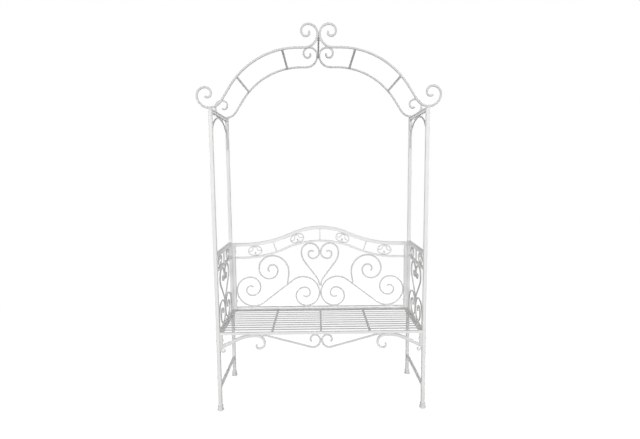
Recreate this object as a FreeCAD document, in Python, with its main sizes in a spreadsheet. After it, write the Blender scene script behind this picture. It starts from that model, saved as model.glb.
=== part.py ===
import FreeCAD, Part
import math
import os
import Sketcher
from FreeCAD import Placement, Rotation, Vector

# A knock-down garden arbour seat in white painted steel.
# X runs along the seat, the open front faces -Y and Z is up.
# The origin is on the ground under the middle of the arbour.

doc = FreeCAD.newDocument("arbour_seat")

SIZES = {
    # Corner posts and their flared feet
    "post_size": 20,
    "post_wall": 1.5,
    "post_height": 1700,
    "post_spacing_x": 1170,
    "post_spacing_y": 430,
    "foot_radius": 19,
    "foot_height": 28,
    "foot_rim": 4,
    "foot_collar": 1.4,
    "foot_floor": 8,
    "foot_play": 0.1,
    # Rails of the two side frames
    "rail_size": 15,
    "rail_wall": 1.2,
    "stout_rail_size": 20,
    "stout_rail_wall": 1.5,
    "stretcher_level": 130,
    "seat_level": 464,
    "band_rail_rise": 351,
    "arm_band_height": 88,
    # Round bar of the side frames
    "side_arch_bar": 10,
    "side_arch_haunch": 110,
    "side_arch_haunch_angle": 60,
    "side_arch_leg": 36,
    "panel_bar": 10,
    "side_heart_outer": 58,
    "side_heart_inner": 58,
    "side_heart_curl_a": 26,
    "side_heart_curl_b": 20,
    "side_heart_eye": 13,
    "side_heart_straight": 117.3,
    "side_heart_tail": 70,
    "side_scroll_leg": 55,
    "side_scroll_shoulder": 90,
    "side_scroll_breast": 80,
    "side_scroll_curl_a": 56,
    "side_scroll_curl_b": 38,
    "side_scroll_curl_c": 24,
    "side_scroll_eye": 14,
    "side_rosette_offset": 106,
    # Rosettes and dividers of the ornamental bands
    "divider_size": 8,
    "divider_play": 0.4,
    "rosette_bar": 6,
    "rosette_width": 94,
    "rosette_end": 24,
    "rosette_play": 0.5,
    "trefoil_bar": 5,
    "trefoil_loop": 14,
    "trefoil_flare": 13,
    "trefoil_foot": 8,
    "trefoil_stem": 10,
    # Seat frame, cross bars and slats
    "seat_rail_width": 12,
    "seat_rail_depth": 15,
    "seat_side_width": 15,
    "seat_wall": 1.2,
    "seat_bearer_width": 10,
    "seat_bearer_spacing": 280,
    "slat_width": 16,
    "slat_thickness": 2,
    "slat_end_play": 3,
    "slat_count": 10,
    # Apron under the front rail
    "apron_bar": 10,
    "apron_drop": 73,
    "apron_bottom": 42,
    "apron_curl_a": 25,
    "apron_curl_b": 16,
    "apron_bend": 120,
    "tab_width": 15,
    "tab_length": 79,
    "hook_bar": 8,
    "hook_drop": 12,
    "hook_curl_a": 11,
    "hook_curl_b": 8,
    "hook_curl_c": 6,
    "corner_depth": 10,
    "corner_root": 22,
    "corner_tip": 8,
    "corner_slope": 25,
    "corner_crest_radius": 200,
    "corner_crest_reach": 173,
    "corner_flat": 22,
    "corner_curl_a": 44,
    "corner_curl_b": 32,
    "corner_curl_c": 16,
    "corner_eye": 11,
    # Back panel frame
    "back_size": 20,
    "back_wall": 1.5,
    "back_sill_rise": 1,
    "back_level_run": 55,
    "back_band_height": 87,
    "back_top_rise": 109,
    "back_top_crest": 440,
    "back_rail_size": 12,
    "back_rail_wall": 1.2,
    "back_rail_height": 343,
    "back_rail_rise": 108,
    "back_rail_crest": 560,
    "back_divider_offset": 296,
    "outer_rosette_offset": 425,
    "inner_rosette_offset": 149,
    # Scrolls of the back panel
    "scroll_shoulder": 108,
    "scroll_breast": 88,
    "scroll_curl_a": 67,
    "scroll_curl_b": 57,
    "scroll_curl_c": 36,
    "scroll_curl_d": 28,
    "scroll_eye": 18,
    "upper_scroll_offset": 315,
    "upper_scroll_foot": 260,
    "heart_outer": 57,
    "heart_inner": 60,
    "heart_curl_a": 42,
    "heart_curl_b": 30,
    "heart_curl_c": 22,
    "heart_eye": 14,
    "heart_straight": 124.8,
    "heart_tail": 100,
    # Arch over the seat
    "hoop_bar": 12,
    "hoop_foot_overhang": 7,
    "hoop_curl_a": 63,
    "hoop_curl_b": 44,
    "hoop_curl_c": 32,
    "hoop_curl_d": 21,
    "hoop_curl_eye": 14,
    "hoop_heel": 80,
    "hoop_straight": 81.6,
    "hoop_rise": 308.5,
    "hoop_flat_offset": 110,
    "hoop_flat_length": 34,
    "hoop_neck": 70,
    "hoop_crown_a": 50,
    "hoop_crown_b": 36,
    "hoop_crown_c": 26,
    "hoop_crown_d": 17,
    "hoop_crown_eye": 10,
    "tie_size": 12,
    "lower_tie_angle": 48.6,
    "upper_tie_angle": 11.1,
    "base_plate_thickness": 5,
    "ridge_plate_thickness": 5,
    "ridge_plate_height": 27,
    "ridge_plate_drop": 4,
    # Bolts and nuts
    "bolt_size": 6,
    "bolt_hole": 6.5,
    "hex_width": 10,
    "bolt_head_height": 4,
    "nut_height": 5,
    "nut_play": 0.05,
    "bolt_tip": 2,
    "base_bolt_offset": 100,
    "ridge_bolt_offset": 120,
    "back_bolt_low_rise": 51,
    "back_bolt_over_rail": 43,
    "tab_bolt_drop": 34,
}

sheet = doc.addObject("Spreadsheet::Sheet", "Sizes")
for row, (alias, value) in enumerate(SIZES.items(), start=1):
    sheet.set(f"A{row}", alias.replace("_", " "))
    sheet.set(f"B{row}", str(value))
    sheet.setAlias(f"B{row}", alias)
doc.recompute()


def size(alias):
    """One driving dimension, read back from the sheet."""
    return float(sheet.get(alias))


nodes = []


def keep(thing, label):
    """Name a finished sub-part and put it on the list of pieces to write."""
    thing.Label = label
    nodes.append(thing)
    return thing


# Planes, sketches and straight bars

PLANES = {"X": "YZ_Plane", "Y": "XZ_Plane", "Z": "XY_Plane"}


def new_body(label):
    return doc.addObject("PartDesign::Body", label)


def sketch_on(body, role, label, offset=None):
    """A sketch laid on one of the body's own origin planes."""
    sketch = body.newObject("Sketcher::SketchObject", label)
    plane = next(f for f in body.Origin.OriginFeatures if f.Role == role)
    sketch.AttachmentSupport = [(plane, "")]
    sketch.MapMode = "FlatFace"
    if offset:
        sketch.AttachmentOffset = Placement(offset, Rotation())
    return sketch


def bind(sketch, constraint, expression):
    """Add a dimension to a sketch and tie it to the sheet."""
    index = sketch.addConstraint(constraint)
    sketch.setExpression(f"Constraints[{index}]", expression)


def draw_rectangle(sketch, width, height):
    """A rectangle centred on the sketch's origin, its sides tied to two expressions."""
    corners = [Vector(-1, -1), Vector(1, -1), Vector(1, 1), Vector(-1, 1)]
    sides = []
    for start, end in zip(corners, corners[1:] + corners[:1]):
        sides.append(sketch.addGeometry(Part.LineSegment(start, end)))
    for side, following in zip(sides, sides[1:] + sides[:1]):
        sketch.addConstraint(Sketcher.Constraint("Coincident", side, 2, following, 1))
    for side, direction in zip(sides, ["Horizontal", "Vertical"] * 2):
        sketch.addConstraint(Sketcher.Constraint(direction, side))
    sketch.addConstraint(Sketcher.Constraint("Symmetric", sides[0], 1, sides[2], 1, -1, 1))
    bind(sketch, Sketcher.Constraint("DistanceX", sides[0], 1, sides[0], 2, 2), width)
    bind(sketch, Sketcher.Constraint("DistanceY", sides[1], 1, sides[1], 2, 2), height)


def draw_section(sketch, width, height, wall):
    """The section of a bar, or of a tube where a wall is given."""
    draw_rectangle(sketch, width, height)
    if wall:
        draw_rectangle(sketch, f"{width} - 2 * {wall}", f"{height} - 2 * {wall}")


def place(thing, x="0", y="0", z="0"):
    """Tie where a piece stands to the sheet."""
    thing.setExpression("Placement.Base.x", x)
    thing.setExpression("Placement.Base.y", y)
    thing.setExpression("Placement.Base.z", z)


def straight_bar(label, along, width, height, length, wall=None):
    """A straight bar or square tube along one axis, centred on its own origin."""
    body = new_body(label)
    section = sketch_on(body, PLANES[along], label + "_section")
    draw_section(section, width, height, wall)
    pad = body.newObject("PartDesign::Pad", label + "_length")
    pad.Profile = section
    pad.SideType = "Symmetric"
    pad.setExpression("Length", length)
    return body


def drill(body, across, spots):
    """Bolt holes right through a piece, at spots measured from the piece's own middle."""
    doc.recompute()
    before = body.Shape.Volume
    sketch = sketch_on(body, PLANES[across], body.Name + "_holes")
    for u, v in spots:
        hole = sketch.addGeometry(Part.Circle(Vector(u, v), Vector(0, 0, 1), size("bolt_hole") / 2))
        bind(sketch, Sketcher.Constraint("Diameter", hole, size("bolt_hole")), "Sizes.bolt_hole")
        sketch.addConstraint(Sketcher.Constraint("DistanceX", -1, 1, hole, 3, u))
        sketch.addConstraint(Sketcher.Constraint("DistanceY", -1, 1, hole, 3, v))
    pocket = body.newObject("PartDesign::Pocket", body.Name + "_drilling")
    pocket.Profile = sketch
    pocket.Type = "ThroughAll"
    pocket.SideType = "Symmetric"
    doc.recompute()
    if body.Shape.Volume >= before:
        raise RuntimeError(f"{body.Label}: the bolt holes cut nothing")


# Paths of bent bars: straight runs and turns that follow each other without a corner


def run(length):
    return (0, 0, length)


def turn(radius, degrees):
    """A turn to the left where degrees is positive; the radius is a number or a name on the sheet."""
    return (radius, degrees, 0)


def walk(start, heading, steps):
    """Follow the steps from a point and heading; each piece keeps its ends and, on a turn, its arc."""
    pieces = []
    x, y = start
    for radius, degrees, length in steps:
        ahead = math.radians(heading)
        if length:
            end = (x + length * math.cos(ahead), y + length * math.sin(ahead))
            pieces.append({"ends": [(x, y), end]})
        else:
            alias = radius if isinstance(radius, str) else None
            reach = radius_of(radius)
            side = math.copysign(1, degrees)
            centre = (x - side * reach * math.sin(ahead), y + side * reach * math.cos(ahead))
            first = ahead - side * math.pi / 2
            last = first + math.radians(degrees)
            end = (centre[0] + reach * math.cos(last), centre[1] + reach * math.sin(last))
            arc = (centre, reach, min(first, last), max(first, last))
            pieces.append({"ends": [(x, y), end], "arc": arc, "alias": alias, "turn": degrees})
            heading += degrees
        x, y = end
    return pieces


def backwards(pieces):
    return [dict(piece, ends=piece["ends"][::-1]) for piece in reversed(pieces)]


def mirrored(pieces, side):
    """The same path on the other side of the sketch's upright axis where side is -1."""
    if side > 0:
        return pieces
    flipped = []
    for piece in pieces:
        copy = dict(piece, ends=[(-x, y) for x, y in piece["ends"]])
        if "arc" in piece:
            (x, y), reach, first, last = piece["arc"]
            copy["arc"] = ((-x, y), reach, math.pi - last, math.pi - first)
        flipped.append(copy)
    return flipped


def radius_of(radius):
    """A radius given as a number or as a name on the sheet."""
    return size(radius) if isinstance(radius, str) else radius


def s_bend(first, second, along, across):
    """Turn, straight run and counter turn that end on the first heading.

    The end lies a distance along ahead and a distance across to the left of the start.
    """
    both = radius_of(first) + radius_of(second)
    straight = math.sqrt(along ** 2 + across ** 2 - 2 * both * across)
    angle = math.degrees(math.atan2(across - both, along) + math.atan2(both, straight))
    return [turn(first, angle), run(straight), turn(second, -angle)]


def other_radius(radius, straight, along, across):
    """The second radius that leaves an S-bend a given straight run between its turns."""
    both = (along ** 2 + across ** 2 - size(straight) ** 2) / (2 * across)
    return both - size(radius)


def curl(names, eye, side, eye_angle=60):
    """Quarter turns of shrinking radius that close with part of a turn round the eye."""
    return [turn(name, side * 90) for name in names] + [turn(eye, side * eye_angle)]


def draw_path(body, role, pieces):
    """Draw a path as a sketch, each joint tangent and each named radius tied to the sheet."""
    sketch = sketch_on(body, role, body.Name + "_path")
    drawn = []
    for piece in pieces:
        start, end = [Vector(x, y) for x, y in piece["ends"]]
        if "arc" in piece:
            (x, y), reach, first, last = piece["arc"]
            circle = Part.Circle(Vector(x, y), Vector(0, 0, 1), reach)
            index = sketch.addGeometry(Part.ArcOfCircle(circle, first, last))
            arc_start = Vector(x + reach * math.cos(first), y + reach * math.sin(first))
            forward = arc_start.distanceToPoint(start) < arc_start.distanceToPoint(end)
        else:
            index = sketch.addGeometry(Part.LineSegment(start, end))
            forward = True
        drawn.append((index, 1 if forward else 2, 2 if forward else 1))
    for (index, _, leaving), (following, entering, _) in zip(drawn, drawn[1:]):
        sketch.addConstraint(Sketcher.Constraint("Tangent", index, leaving, following, entering))
    for (index, _, _), piece in zip(drawn, pieces):
        if piece.get("alias"):
            radius = Sketcher.Constraint("Radius", index, piece["arc"][1])
            bind(sketch, radius, "Sizes." + piece["alias"])
    return sketch, 0 if drawn[0][1] == 1 else 1


def round_bar(label, role, pieces, diameter):
    """A round bar bent along a path."""
    body = new_body(label)
    path, start = draw_path(body, role, pieces)
    section = body.newObject("Sketcher::SketchObject", label + "_section")
    section.AttachmentSupport = [(path, "Edge1")]
    section.MapMode = "NormalToEdge"
    section.MapPathParameter = start
    circle = section.addGeometry(Part.Circle(Vector(), Vector(0, 0, 1), size(diameter) / 2))
    section.addConstraint(Sketcher.Constraint("Coincident", circle, 3, -1, 1))
    bind(section, Sketcher.Constraint("Diameter", circle, size(diameter)), "Sizes." + diameter)
    doc.recompute()
    pipe = body.newObject("PartDesign::AdditivePipe", label + "_bar")
    pipe.Profile = section
    pipe.Spine = path
    return body


def group(label, bodies):
    """Several separate solids that share one name."""
    compound = doc.addObject("Part::Compound", label)
    compound.Links = bodies
    return keep(compound, label)


# Places that several pieces share

half_x = size("post_spacing_x") / 2
half_y = size("post_spacing_y") / 2
inner_x = half_x - size("post_size") / 2
inner_y = half_y - size("post_size") / 2
front_plane = "-Sizes.post_spacing_y / 2"
rear_plane = "Sizes.post_spacing_y / 2"
clear_y = "(Sizes.post_spacing_y - Sizes.post_size)"
seat_middle = "Sizes.seat_level - Sizes.seat_rail_depth / 2"
back_bolt_levels = [size("seat_level") + size("back_bolt_low_rise"),
                    size("seat_level") + size("back_rail_height") + size("back_bolt_over_rail")]
SIDES = {"left": -1, "right": 1}
ENDS = {"front": -1, "rear": 1}


def side_x(side):
    return f"{side} * Sizes.post_spacing_x / 2"


def flush_x(side):
    """The middle of a small rail whose inner face is flush with the posts'."""
    return f"{side} * (Sizes.post_spacing_x - Sizes.post_size + Sizes.rail_size) / 2"


# Corner posts: square tubes, drilled where the back panel and the seat's tabs are bolted on

for end_name, end in ENDS.items():
    for side_name, side in SIDES.items():
        length = size("post_height") - size("foot_floor")
        post = straight_bar(f"post_{end_name}_{side_name}", "Z", "Sizes.post_size", "Sizes.post_size",
                            "(Sizes.post_height - Sizes.foot_floor)", "Sizes.post_wall")
        place(post, side_x(side), f"{end} * Sizes.post_spacing_y / 2",
              "(Sizes.post_height + Sizes.foot_floor) / 2")
        middle = size("foot_floor") + length / 2
        if end > 0:
            spots = [(0, level - middle) for level in back_bolt_levels]
        else:
            tab_level = size("seat_level") - size("seat_rail_depth") - size("tab_bolt_drop")
            offset = (size("seat_rail_width") - size("post_size")) / 2
            spots = [(offset, tab_level - middle)]
        drill(post, "X", spots)
        keep(post, f"post_{end_name}_{side_name}")

# Feet: flared round shoes with a square socket that the post stands in

# The flare is hollow: it passes through a point at these shares of its width and height
FLARE_SHARE_OUT = 0.25
FLARE_SHARE_UP = 0.4
feet = []
for end_name, end in ENDS.items():
    for side_name, side in SIDES.items():
        foot = new_body(f"foot_{end_name}_{side_name}")
        outline = sketch_on(foot, "XZ_Plane", foot.Name + "_outline")
        neck = (size("post_size") / 2 + size("foot_play")) * math.sqrt(2) + size("foot_collar")
        rim = size("foot_radius")
        top = size("foot_height")
        flare_start = Vector(rim, size("foot_rim"))
        flare_end = Vector(neck, top)
        flare_middle = Vector(neck + (rim - neck) * FLARE_SHARE_OUT,
                              size("foot_rim") + (top - size("foot_rim")) * FLARE_SHARE_UP)
        for start, finish in [(Vector(0, top), Vector(0, 0)), (Vector(0, 0), Vector(rim, 0)),
                              (Vector(rim, 0), flare_start)]:
            outline.addGeometry(Part.LineSegment(start, finish))
        outline.addGeometry(Part.Arc(flare_start, flare_middle, flare_end))
        outline.addGeometry(Part.LineSegment(flare_end, Vector(0, top)))
        shoe = foot.newObject("PartDesign::Revolution", foot.Name + "_shoe")
        shoe.Profile = outline
        shoe.ReferenceAxis = (outline, ["V_Axis"])
        shoe.Angle = 360
        doc.recompute()
        before = foot.Shape.Volume
        socket = sketch_on(foot, "XY_Plane", foot.Name + "_socket",
                           Vector(0, 0, size("foot_height")))
        draw_rectangle(socket, "Sizes.post_size + 2 * Sizes.foot_play",
                       "Sizes.post_size + 2 * Sizes.foot_play")
        pocket = foot.newObject("PartDesign::Pocket", foot.Name + "_bore")
        pocket.Profile = socket
        pocket.setExpression("Length", "Sizes.foot_height - Sizes.foot_floor")
        doc.recompute()
        if foot.Shape.Volume >= before:
            raise RuntimeError("The foot's socket cut nothing")
        place(foot, side_x(side), f"{end} * Sizes.post_spacing_y / 2")
        feet.append(foot)
group("feet", feet)


# Rosette: an oval ring with a trefoil of thin bar inside


def oval(half_width, half_height):
    """Closed oval of four arcs: two small ends and two flat sides, tangent where they meet."""
    end = size("rosette_end")
    reach = half_width - end
    flat = (reach ** 2 + half_height ** 2 - end ** 2) / (2 * (half_height - end))
    sweep = math.degrees(math.atan2(flat - half_height, reach))
    return walk((half_width, 0), 90, [turn(end, sweep), turn(flat, 180 - 2 * sweep),
                                      turn(end, 2 * sweep), turn(flat, 180 - 2 * sweep),
                                      turn(end, sweep)]), flat


def rosette(label, role, centre, tilt, clear_height, plane):
    """Ring and trefoil that fill a clear height, turned by tilt degrees about the ring's middle."""
    ring_radius = size("rosette_bar") / 2
    wire_radius = size("trefoil_bar") / 2
    half_height = (clear_height - size("rosette_play")) / 2 - ring_radius
    half_width = size("rosette_width") / 2 - ring_radius
    ring, flat = oval(half_width, half_height)
    touch = ring_radius + wire_radius
    loop = size("trefoil_loop")
    flare = size("trefoil_flare")
    loop_level = half_height - touch - loop
    arm_level = loop_level - flare
    end_radius = size("rosette_end") - ring_radius
    end_sag = end_radius - math.sqrt(end_radius ** 2 - (abs(arm_level) + wire_radius) ** 2)
    arm = half_width - ring_radius - end_sag - loop - flare
    omega = walk((-loop - flare - arm, arm_level), 0,
                 [run(arm), turn("trefoil_flare", 90), turn("trefoil_loop", -180),
                  turn("trefoil_flare", 90), run(arm)])
    foot = size("trefoil_foot")
    foot_reach = wire_radius + foot
    ring_sag = flat - math.sqrt(flat ** 2 - foot_reach ** 2)
    foot_level = -(half_height - touch - ring_sag)
    stem = walk((-wire_radius, foot_level + foot + size("trefoil_stem")), -90,
                [run(size("trefoil_stem")), turn("trefoil_foot", -90)])
    parts = []
    for name, pieces, bar in [("ring", ring, "rosette_bar"), ("loop", omega, "trefoil_bar"),
                              ("stem_a", stem, "trefoil_bar"),
                              ("stem_b", mirrored(stem, -1), "trefoil_bar")]:
        body = round_bar(f"{label}_{name}", role, pieces, bar)
        u, v = centre
        axis = Vector(1, 0, 0) if role == "YZ_Plane" else Vector(0, -1, 0)
        spot = Vector(plane, u, v) if role == "YZ_Plane" else Vector(u, plane, v)
        body.Placement = Placement(spot, Rotation(axis, tilt))
        parts.append(body)
    return parts


# Side frames: rails between the posts, a small arch on top and ornament below

bar = size("panel_bar") / 2
band_underside = size("seat_level") + size("band_rail_rise") - size("rail_size") / 2
seat_front = -half_y - size("post_size") / 2
seat_rear = inner_y
rail_front = seat_front + size("seat_rail_width") / 2
rail_rear = seat_rear - size("seat_rail_width") / 2
slat_pitch = (rail_rear - rail_front) / (size("slat_count") + 1)
# The seat's bolts lie between the first two slats and the last two
seat_bolt_inset = 1.5 * slat_pitch
seat_bolts_y = [rail_front + seat_bolt_inset, rail_rear - seat_bolt_inset]
seat_bolt_drop = (size("seat_rail_depth") + size("slat_thickness")) / 2
seat_bolt_level = size("seat_level") - seat_bolt_drop

rails = {
    "top_bar": ("rail", side_x, "Sizes.post_height - Sizes.rail_size / 2"),
    "arm_rail": ("stout_rail", side_x,
                 "Sizes.seat_level + Sizes.band_rail_rise + Sizes.arm_band_height"),
    "band_rail": ("rail", side_x, "Sizes.seat_level + Sizes.band_rail_rise"),
    "seat_support": ("rail", flush_x, "Sizes.seat_level - Sizes.rail_size / 2"),
    "stretcher": ("rail", side_x, "Sizes.stretcher_level"),
}
support_drop = size("rail_size") / 2 - seat_bolt_drop
rail_holes = {
    "top_bar": ("Z", [(0, -size("base_bolt_offset")), (0, size("base_bolt_offset"))]),
    "seat_support": ("X", [(y, support_drop) for y in seat_bolts_y]),
}
for side_name, side in SIDES.items():
    for name, (kind, middle_x, level) in rails.items():
        rail = straight_bar(f"{name}_{side_name}", "Y", f"Sizes.{kind}_size", f"Sizes.{kind}_size",
                            clear_y, f"Sizes.{kind}_wall")
        place(rail, middle_x(side), "0", level)
        if name in rail_holes:
            drill(rail, *rail_holes[name])
        keep(rail, f"{name}_{side_name}")

# The small arch springs inside the posts and its top touches the bar that joins them
haunch = size("side_arch_haunch")
haunch_angle = size("side_arch_haunch_angle")
arch_foot = inner_y - size("side_arch_bar") / 2
haunch_rise = haunch * math.sin(math.radians(haunch_angle))
haunch_reach = haunch * (1 - math.cos(math.radians(haunch_angle)))
crown = (arch_foot - haunch_reach) / math.cos(math.radians(haunch_angle))
crown_rise = crown * (1 - math.sin(math.radians(haunch_angle)))
arch_top = size("post_height") - size("rail_size") - size("side_arch_bar") / 2
arch_start = arch_top - crown_rise - haunch_rise - size("side_arch_leg")
arch_path = walk((-arch_foot, arch_start), 90,
                 [run(size("side_arch_leg")), turn("side_arch_haunch", -haunch_angle),
                  turn(crown, 2 * haunch_angle - 180), turn("side_arch_haunch", -haunch_angle),
                  run(size("side_arch_leg"))])

# Two scrolls stand back to back on the seat rail, and each has its belly on the rail too
breast = size("side_scroll_breast")
scroll_leg_y = -(bar + breast + size("side_scroll_shoulder"))
scroll_breast_level = (size("seat_level") + size("side_scroll_leg") + size("side_scroll_shoulder")
                       - breast)
belly = scroll_breast_level - size("seat_level") - bar
lower_scroll = walk((scroll_leg_y, size("seat_level")), 90,
                    [run(size("side_scroll_leg")), turn("side_scroll_shoulder", -90),
                     turn("side_scroll_breast", -90), turn(belly, -90)]
                    + curl(["side_scroll_curl_a", "side_scroll_curl_b", "side_scroll_curl_c"],
                           "side_scroll_eye", -1))

# The heart hangs from the band rail and its point rests in the valley between the scrolls
lobe = size("side_heart_outer") + size("side_heart_inner")
side_heart_extreme = (-(bar + lobe), band_underside - bar - size("side_heart_outer"))
valley = math.sqrt((breast + bar) ** 2 - (breast - bar) ** 2)
tail_level = scroll_breast_level + valley
side_heart_fall = side_heart_extreme[1] - tail_level
flank_radius = other_radius("side_heart_tail", "side_heart_straight", side_heart_fall, lobe)
flank = s_bend(flank_radius, "side_heart_tail", side_heart_fall, lobe)
side_heart = backwards(walk(side_heart_extreme, 90,
                            [turn("side_heart_outer", -90), turn("side_heart_inner", -90)]
                            + curl(["side_heart_curl_a", "side_heart_curl_b"], "side_heart_eye", -1)))
side_heart += walk(side_heart_extreme, -90, flank)

band_floor = size("seat_level") + size("band_rail_rise") + size("rail_size") / 2
arm_rail_level = size("seat_level") + size("band_rail_rise") + size("arm_band_height")
band_ceiling = arm_rail_level - size("stout_rail_size") / 2

for side_name, side in SIDES.items():
    arch = round_bar(f"side_arch_{side_name}", "YZ_Plane", arch_path, "side_arch_bar")
    place(arch, side_x(side))
    keep(arch, f"side_arch_{side_name}")
    for name, path in [("side_heart", side_heart), ("side_scrolls", lower_scroll)]:
        halves = []
        for end_name, end in ENDS.items():
            half = round_bar(f"{name}_{side_name}_{end_name}", "YZ_Plane", mirrored(path, -end),
                             "panel_bar")
            place(half, side_x(side))
            halves.append(half)
        group(f"{name}_{side_name}", halves)
    ornaments = []
    divider = straight_bar(f"band_divider_{side_name}", "Z", "Sizes.divider_size", "Sizes.divider_size",
                           str(band_ceiling - band_floor))
    place(divider, side_x(side), "0", str((band_ceiling + band_floor) / 2))
    ornaments.append(divider)
    for end_name, end in ENDS.items():
        ornaments += rosette(f"band_rosette_{side_name}_{end_name}", "YZ_Plane",
                             (end * size("side_rosette_offset"), (band_ceiling + band_floor) / 2), 0,
                             band_ceiling - band_floor, side * half_x)
    group(f"band_ornament_{side_name}", ornaments)

# Seat: a frame of four rails, three bearers and flat slats

for end_name, y in [("front", rail_front), ("rear", rail_rear)]:
    rail = straight_bar(f"seat_rail_{end_name}", "X", "Sizes.seat_rail_width", "Sizes.seat_rail_depth",
                        "(Sizes.post_spacing_x - Sizes.post_size)", "Sizes.seat_wall")
    place(rail, "0", str(y), seat_middle)
    keep(rail, f"seat_rail_{end_name}")

span_front = rail_front + size("seat_rail_width") / 2
span_rear = rail_rear - size("seat_rail_width") / 2
span_middle = (span_front + span_rear) / 2
seat_span = str(span_rear - span_front)
# The side rails and the bearers lie under the slats
under_slats_depth = "(Sizes.seat_rail_depth - Sizes.slat_thickness)"
under_slats_middle = "Sizes.seat_level - (Sizes.seat_rail_depth + Sizes.slat_thickness) / 2"
for side_name, side in SIDES.items():
    rail = straight_bar(f"seat_side_{side_name}", "Y", "Sizes.seat_side_width", under_slats_depth,
                        seat_span, "Sizes.seat_wall")
    place(rail, f"{side} * (Sizes.post_spacing_x - Sizes.post_size - Sizes.seat_side_width) / 2",
          str(span_middle), under_slats_middle)
    drill(rail, "X", [(y - span_middle, 0) for y in seat_bolts_y])
    keep(rail, f"seat_side_{side_name}")

bearers = []
for step in (-1, 0, 1):
    bearer = straight_bar(f"seat_bearer_{step + 2}", "Y", "Sizes.seat_bearer_width", under_slats_depth,
                          seat_span)
    place(bearer, f"{step} * Sizes.seat_bearer_spacing", str(span_middle), under_slats_middle)
    bearers.append(bearer)
group("seat_bearers", bearers)

slats = []
for number in range(1, int(size("slat_count")) + 1):
    slat = straight_bar(f"seat_slat_{number}", "X", "Sizes.slat_width", "Sizes.slat_thickness",
                        "Sizes.post_spacing_x - Sizes.post_size - 2 * Sizes.slat_end_play")
    place(slat, "0", str(rail_front + number * slat_pitch),
          "Sizes.seat_level - Sizes.slat_thickness / 2")
    slats.append(slat)
group("seat_slats", slats)

# Apron: two long scrolls that meet in the middle under the front rail

apron_top = size("seat_level") - size("seat_rail_depth")
apron_bar = size("apron_bar") / 2
crest_half_width = (size("corner_root") + size("corner_tip")) / 4
curl_a = size("corner_curl_a")
tab_face = -(inner_x - size("tab_width"))
crest_x = tab_face + size("corner_crest_reach")
curl_x = crest_x + size("corner_flat")

scroll_bottom = (-(apron_bar + size("apron_bottom")), apron_top - apron_bar - size("apron_drop"))
inner_rise = apron_top - apron_bar - scroll_bottom[1] - size("apron_bottom")
# The long scroll starts against the shoulder of the corner scroll, just under the rail
shoulder_level = apron_top - crest_half_width - curl_a
shoulder_drop = apron_top - 2 * apron_bar - shoulder_level
shoulder_x = curl_x + math.sqrt((curl_a + crest_half_width) ** 2 - shoulder_drop ** 2)
long_along = scroll_bottom[0] - shoulder_x
long_bend = [(radius, -degrees, length)
             for radius, degrees, length in s_bend("apron_bend", "apron_bottom", long_along,
                                                   size("apron_drop"))]
long_scroll = walk((shoulder_x, apron_top - apron_bar), 0,
                   long_bend + [turn("apron_bottom", 90), turn(inner_rise, 90),
                                turn("apron_curl_a", 90), turn("apron_curl_b", 60)])

# The corner scroll is a flat band that narrows evenly from its root on the tab to its curl

slope = size("corner_slope")
slope_rise = math.sin(math.radians(slope))
slope_run = math.cos(math.radians(slope))
crest = (crest_x, apron_top - crest_half_width)
crest_drop = size("corner_crest_radius") * (1 - slope_run)
crest_reach = size("corner_crest_radius") * slope_rise
shoulder = (crest[0] - crest_reach, crest[1] - crest_drop)
root_length = (shoulder[0] - tab_face) / slope_run
root = (tab_face, shoulder[1] - root_length * slope_rise)
corner_path = walk(root, slope, [run(root_length), turn("corner_crest_radius", -slope),
                                 run(size("corner_flat"))]
                   + curl(["corner_curl_a", "corner_curl_b", "corner_curl_c"], "corner_eye", -1))


def piece_length(piece):
    if "arc" in piece:
        _, reach, first, last = piece["arc"]
        return reach * (last - first)
    return math.dist(*piece["ends"])


def station(piece, share):
    """The point a share of the way along a piece and the direction of the path there."""
    (x0, y0), (x1, y1) = piece["ends"]
    if "arc" not in piece:
        return x0 + share * (x1 - x0), y0 + share * (y1 - y0), math.atan2(y1 - y0, x1 - x0)
    (cx, cy), reach = piece["arc"][:2]
    swing = math.radians(piece["turn"])
    angle = math.atan2(y0 - cy, x0 - cx) + share * swing
    return (cx + reach * math.cos(angle), cy + reach * math.sin(angle),
            angle + math.copysign(math.pi / 2, swing))


def taper_edges(pieces, root_width, tip_width):
    """The two edges of a band whose width falls evenly along the path.

    Each edge piece passes through three stations moved sideways by half the width there.
    """
    whole = sum(piece_length(piece) for piece in pieces)
    edges = {1: [], -1: []}
    done = 0
    for piece in pieces:
        for hand, edge in edges.items():
            points = []
            for share in (0, 0.5, 1):
                x, y, ahead = station(piece, share)
                travelled = (done + share * piece_length(piece)) / whole
                half = hand * (root_width + (tip_width - root_width) * travelled) / 2
                points.append(Vector(x - half * math.sin(ahead), y + half * math.cos(ahead)))
            edge.append(points if "arc" in piece else [points[0], points[2]])
        done += piece_length(piece)
    return edges[1], edges[-1]


def cut_upright(edge, face):
    """Carry the first, straight piece of an edge back to an upright face."""
    start, end = edge[0]
    share = (face - start.x) / (end.x - start.x)
    edge[0][0] = start + (end - start) * share


upper, lower = taper_edges(corner_path, size("corner_root"), size("corner_tip"))
cut_upright(upper, tab_face)
cut_upright(lower, tab_face)
band_outline = upper + [[upper[-1][-1], lower[-1][-1]]] + lower + [[upper[0][0], lower[0][0]]]

hook_path = walk((tab_face - size("tab_width") / 2, apron_top - size("tab_length")), -90,
                 [run(size("hook_drop"))] + curl(["hook_curl_a", "hook_curl_b", "hook_curl_c"],
                                                 "hook_curl_c", 1, 30))

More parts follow.
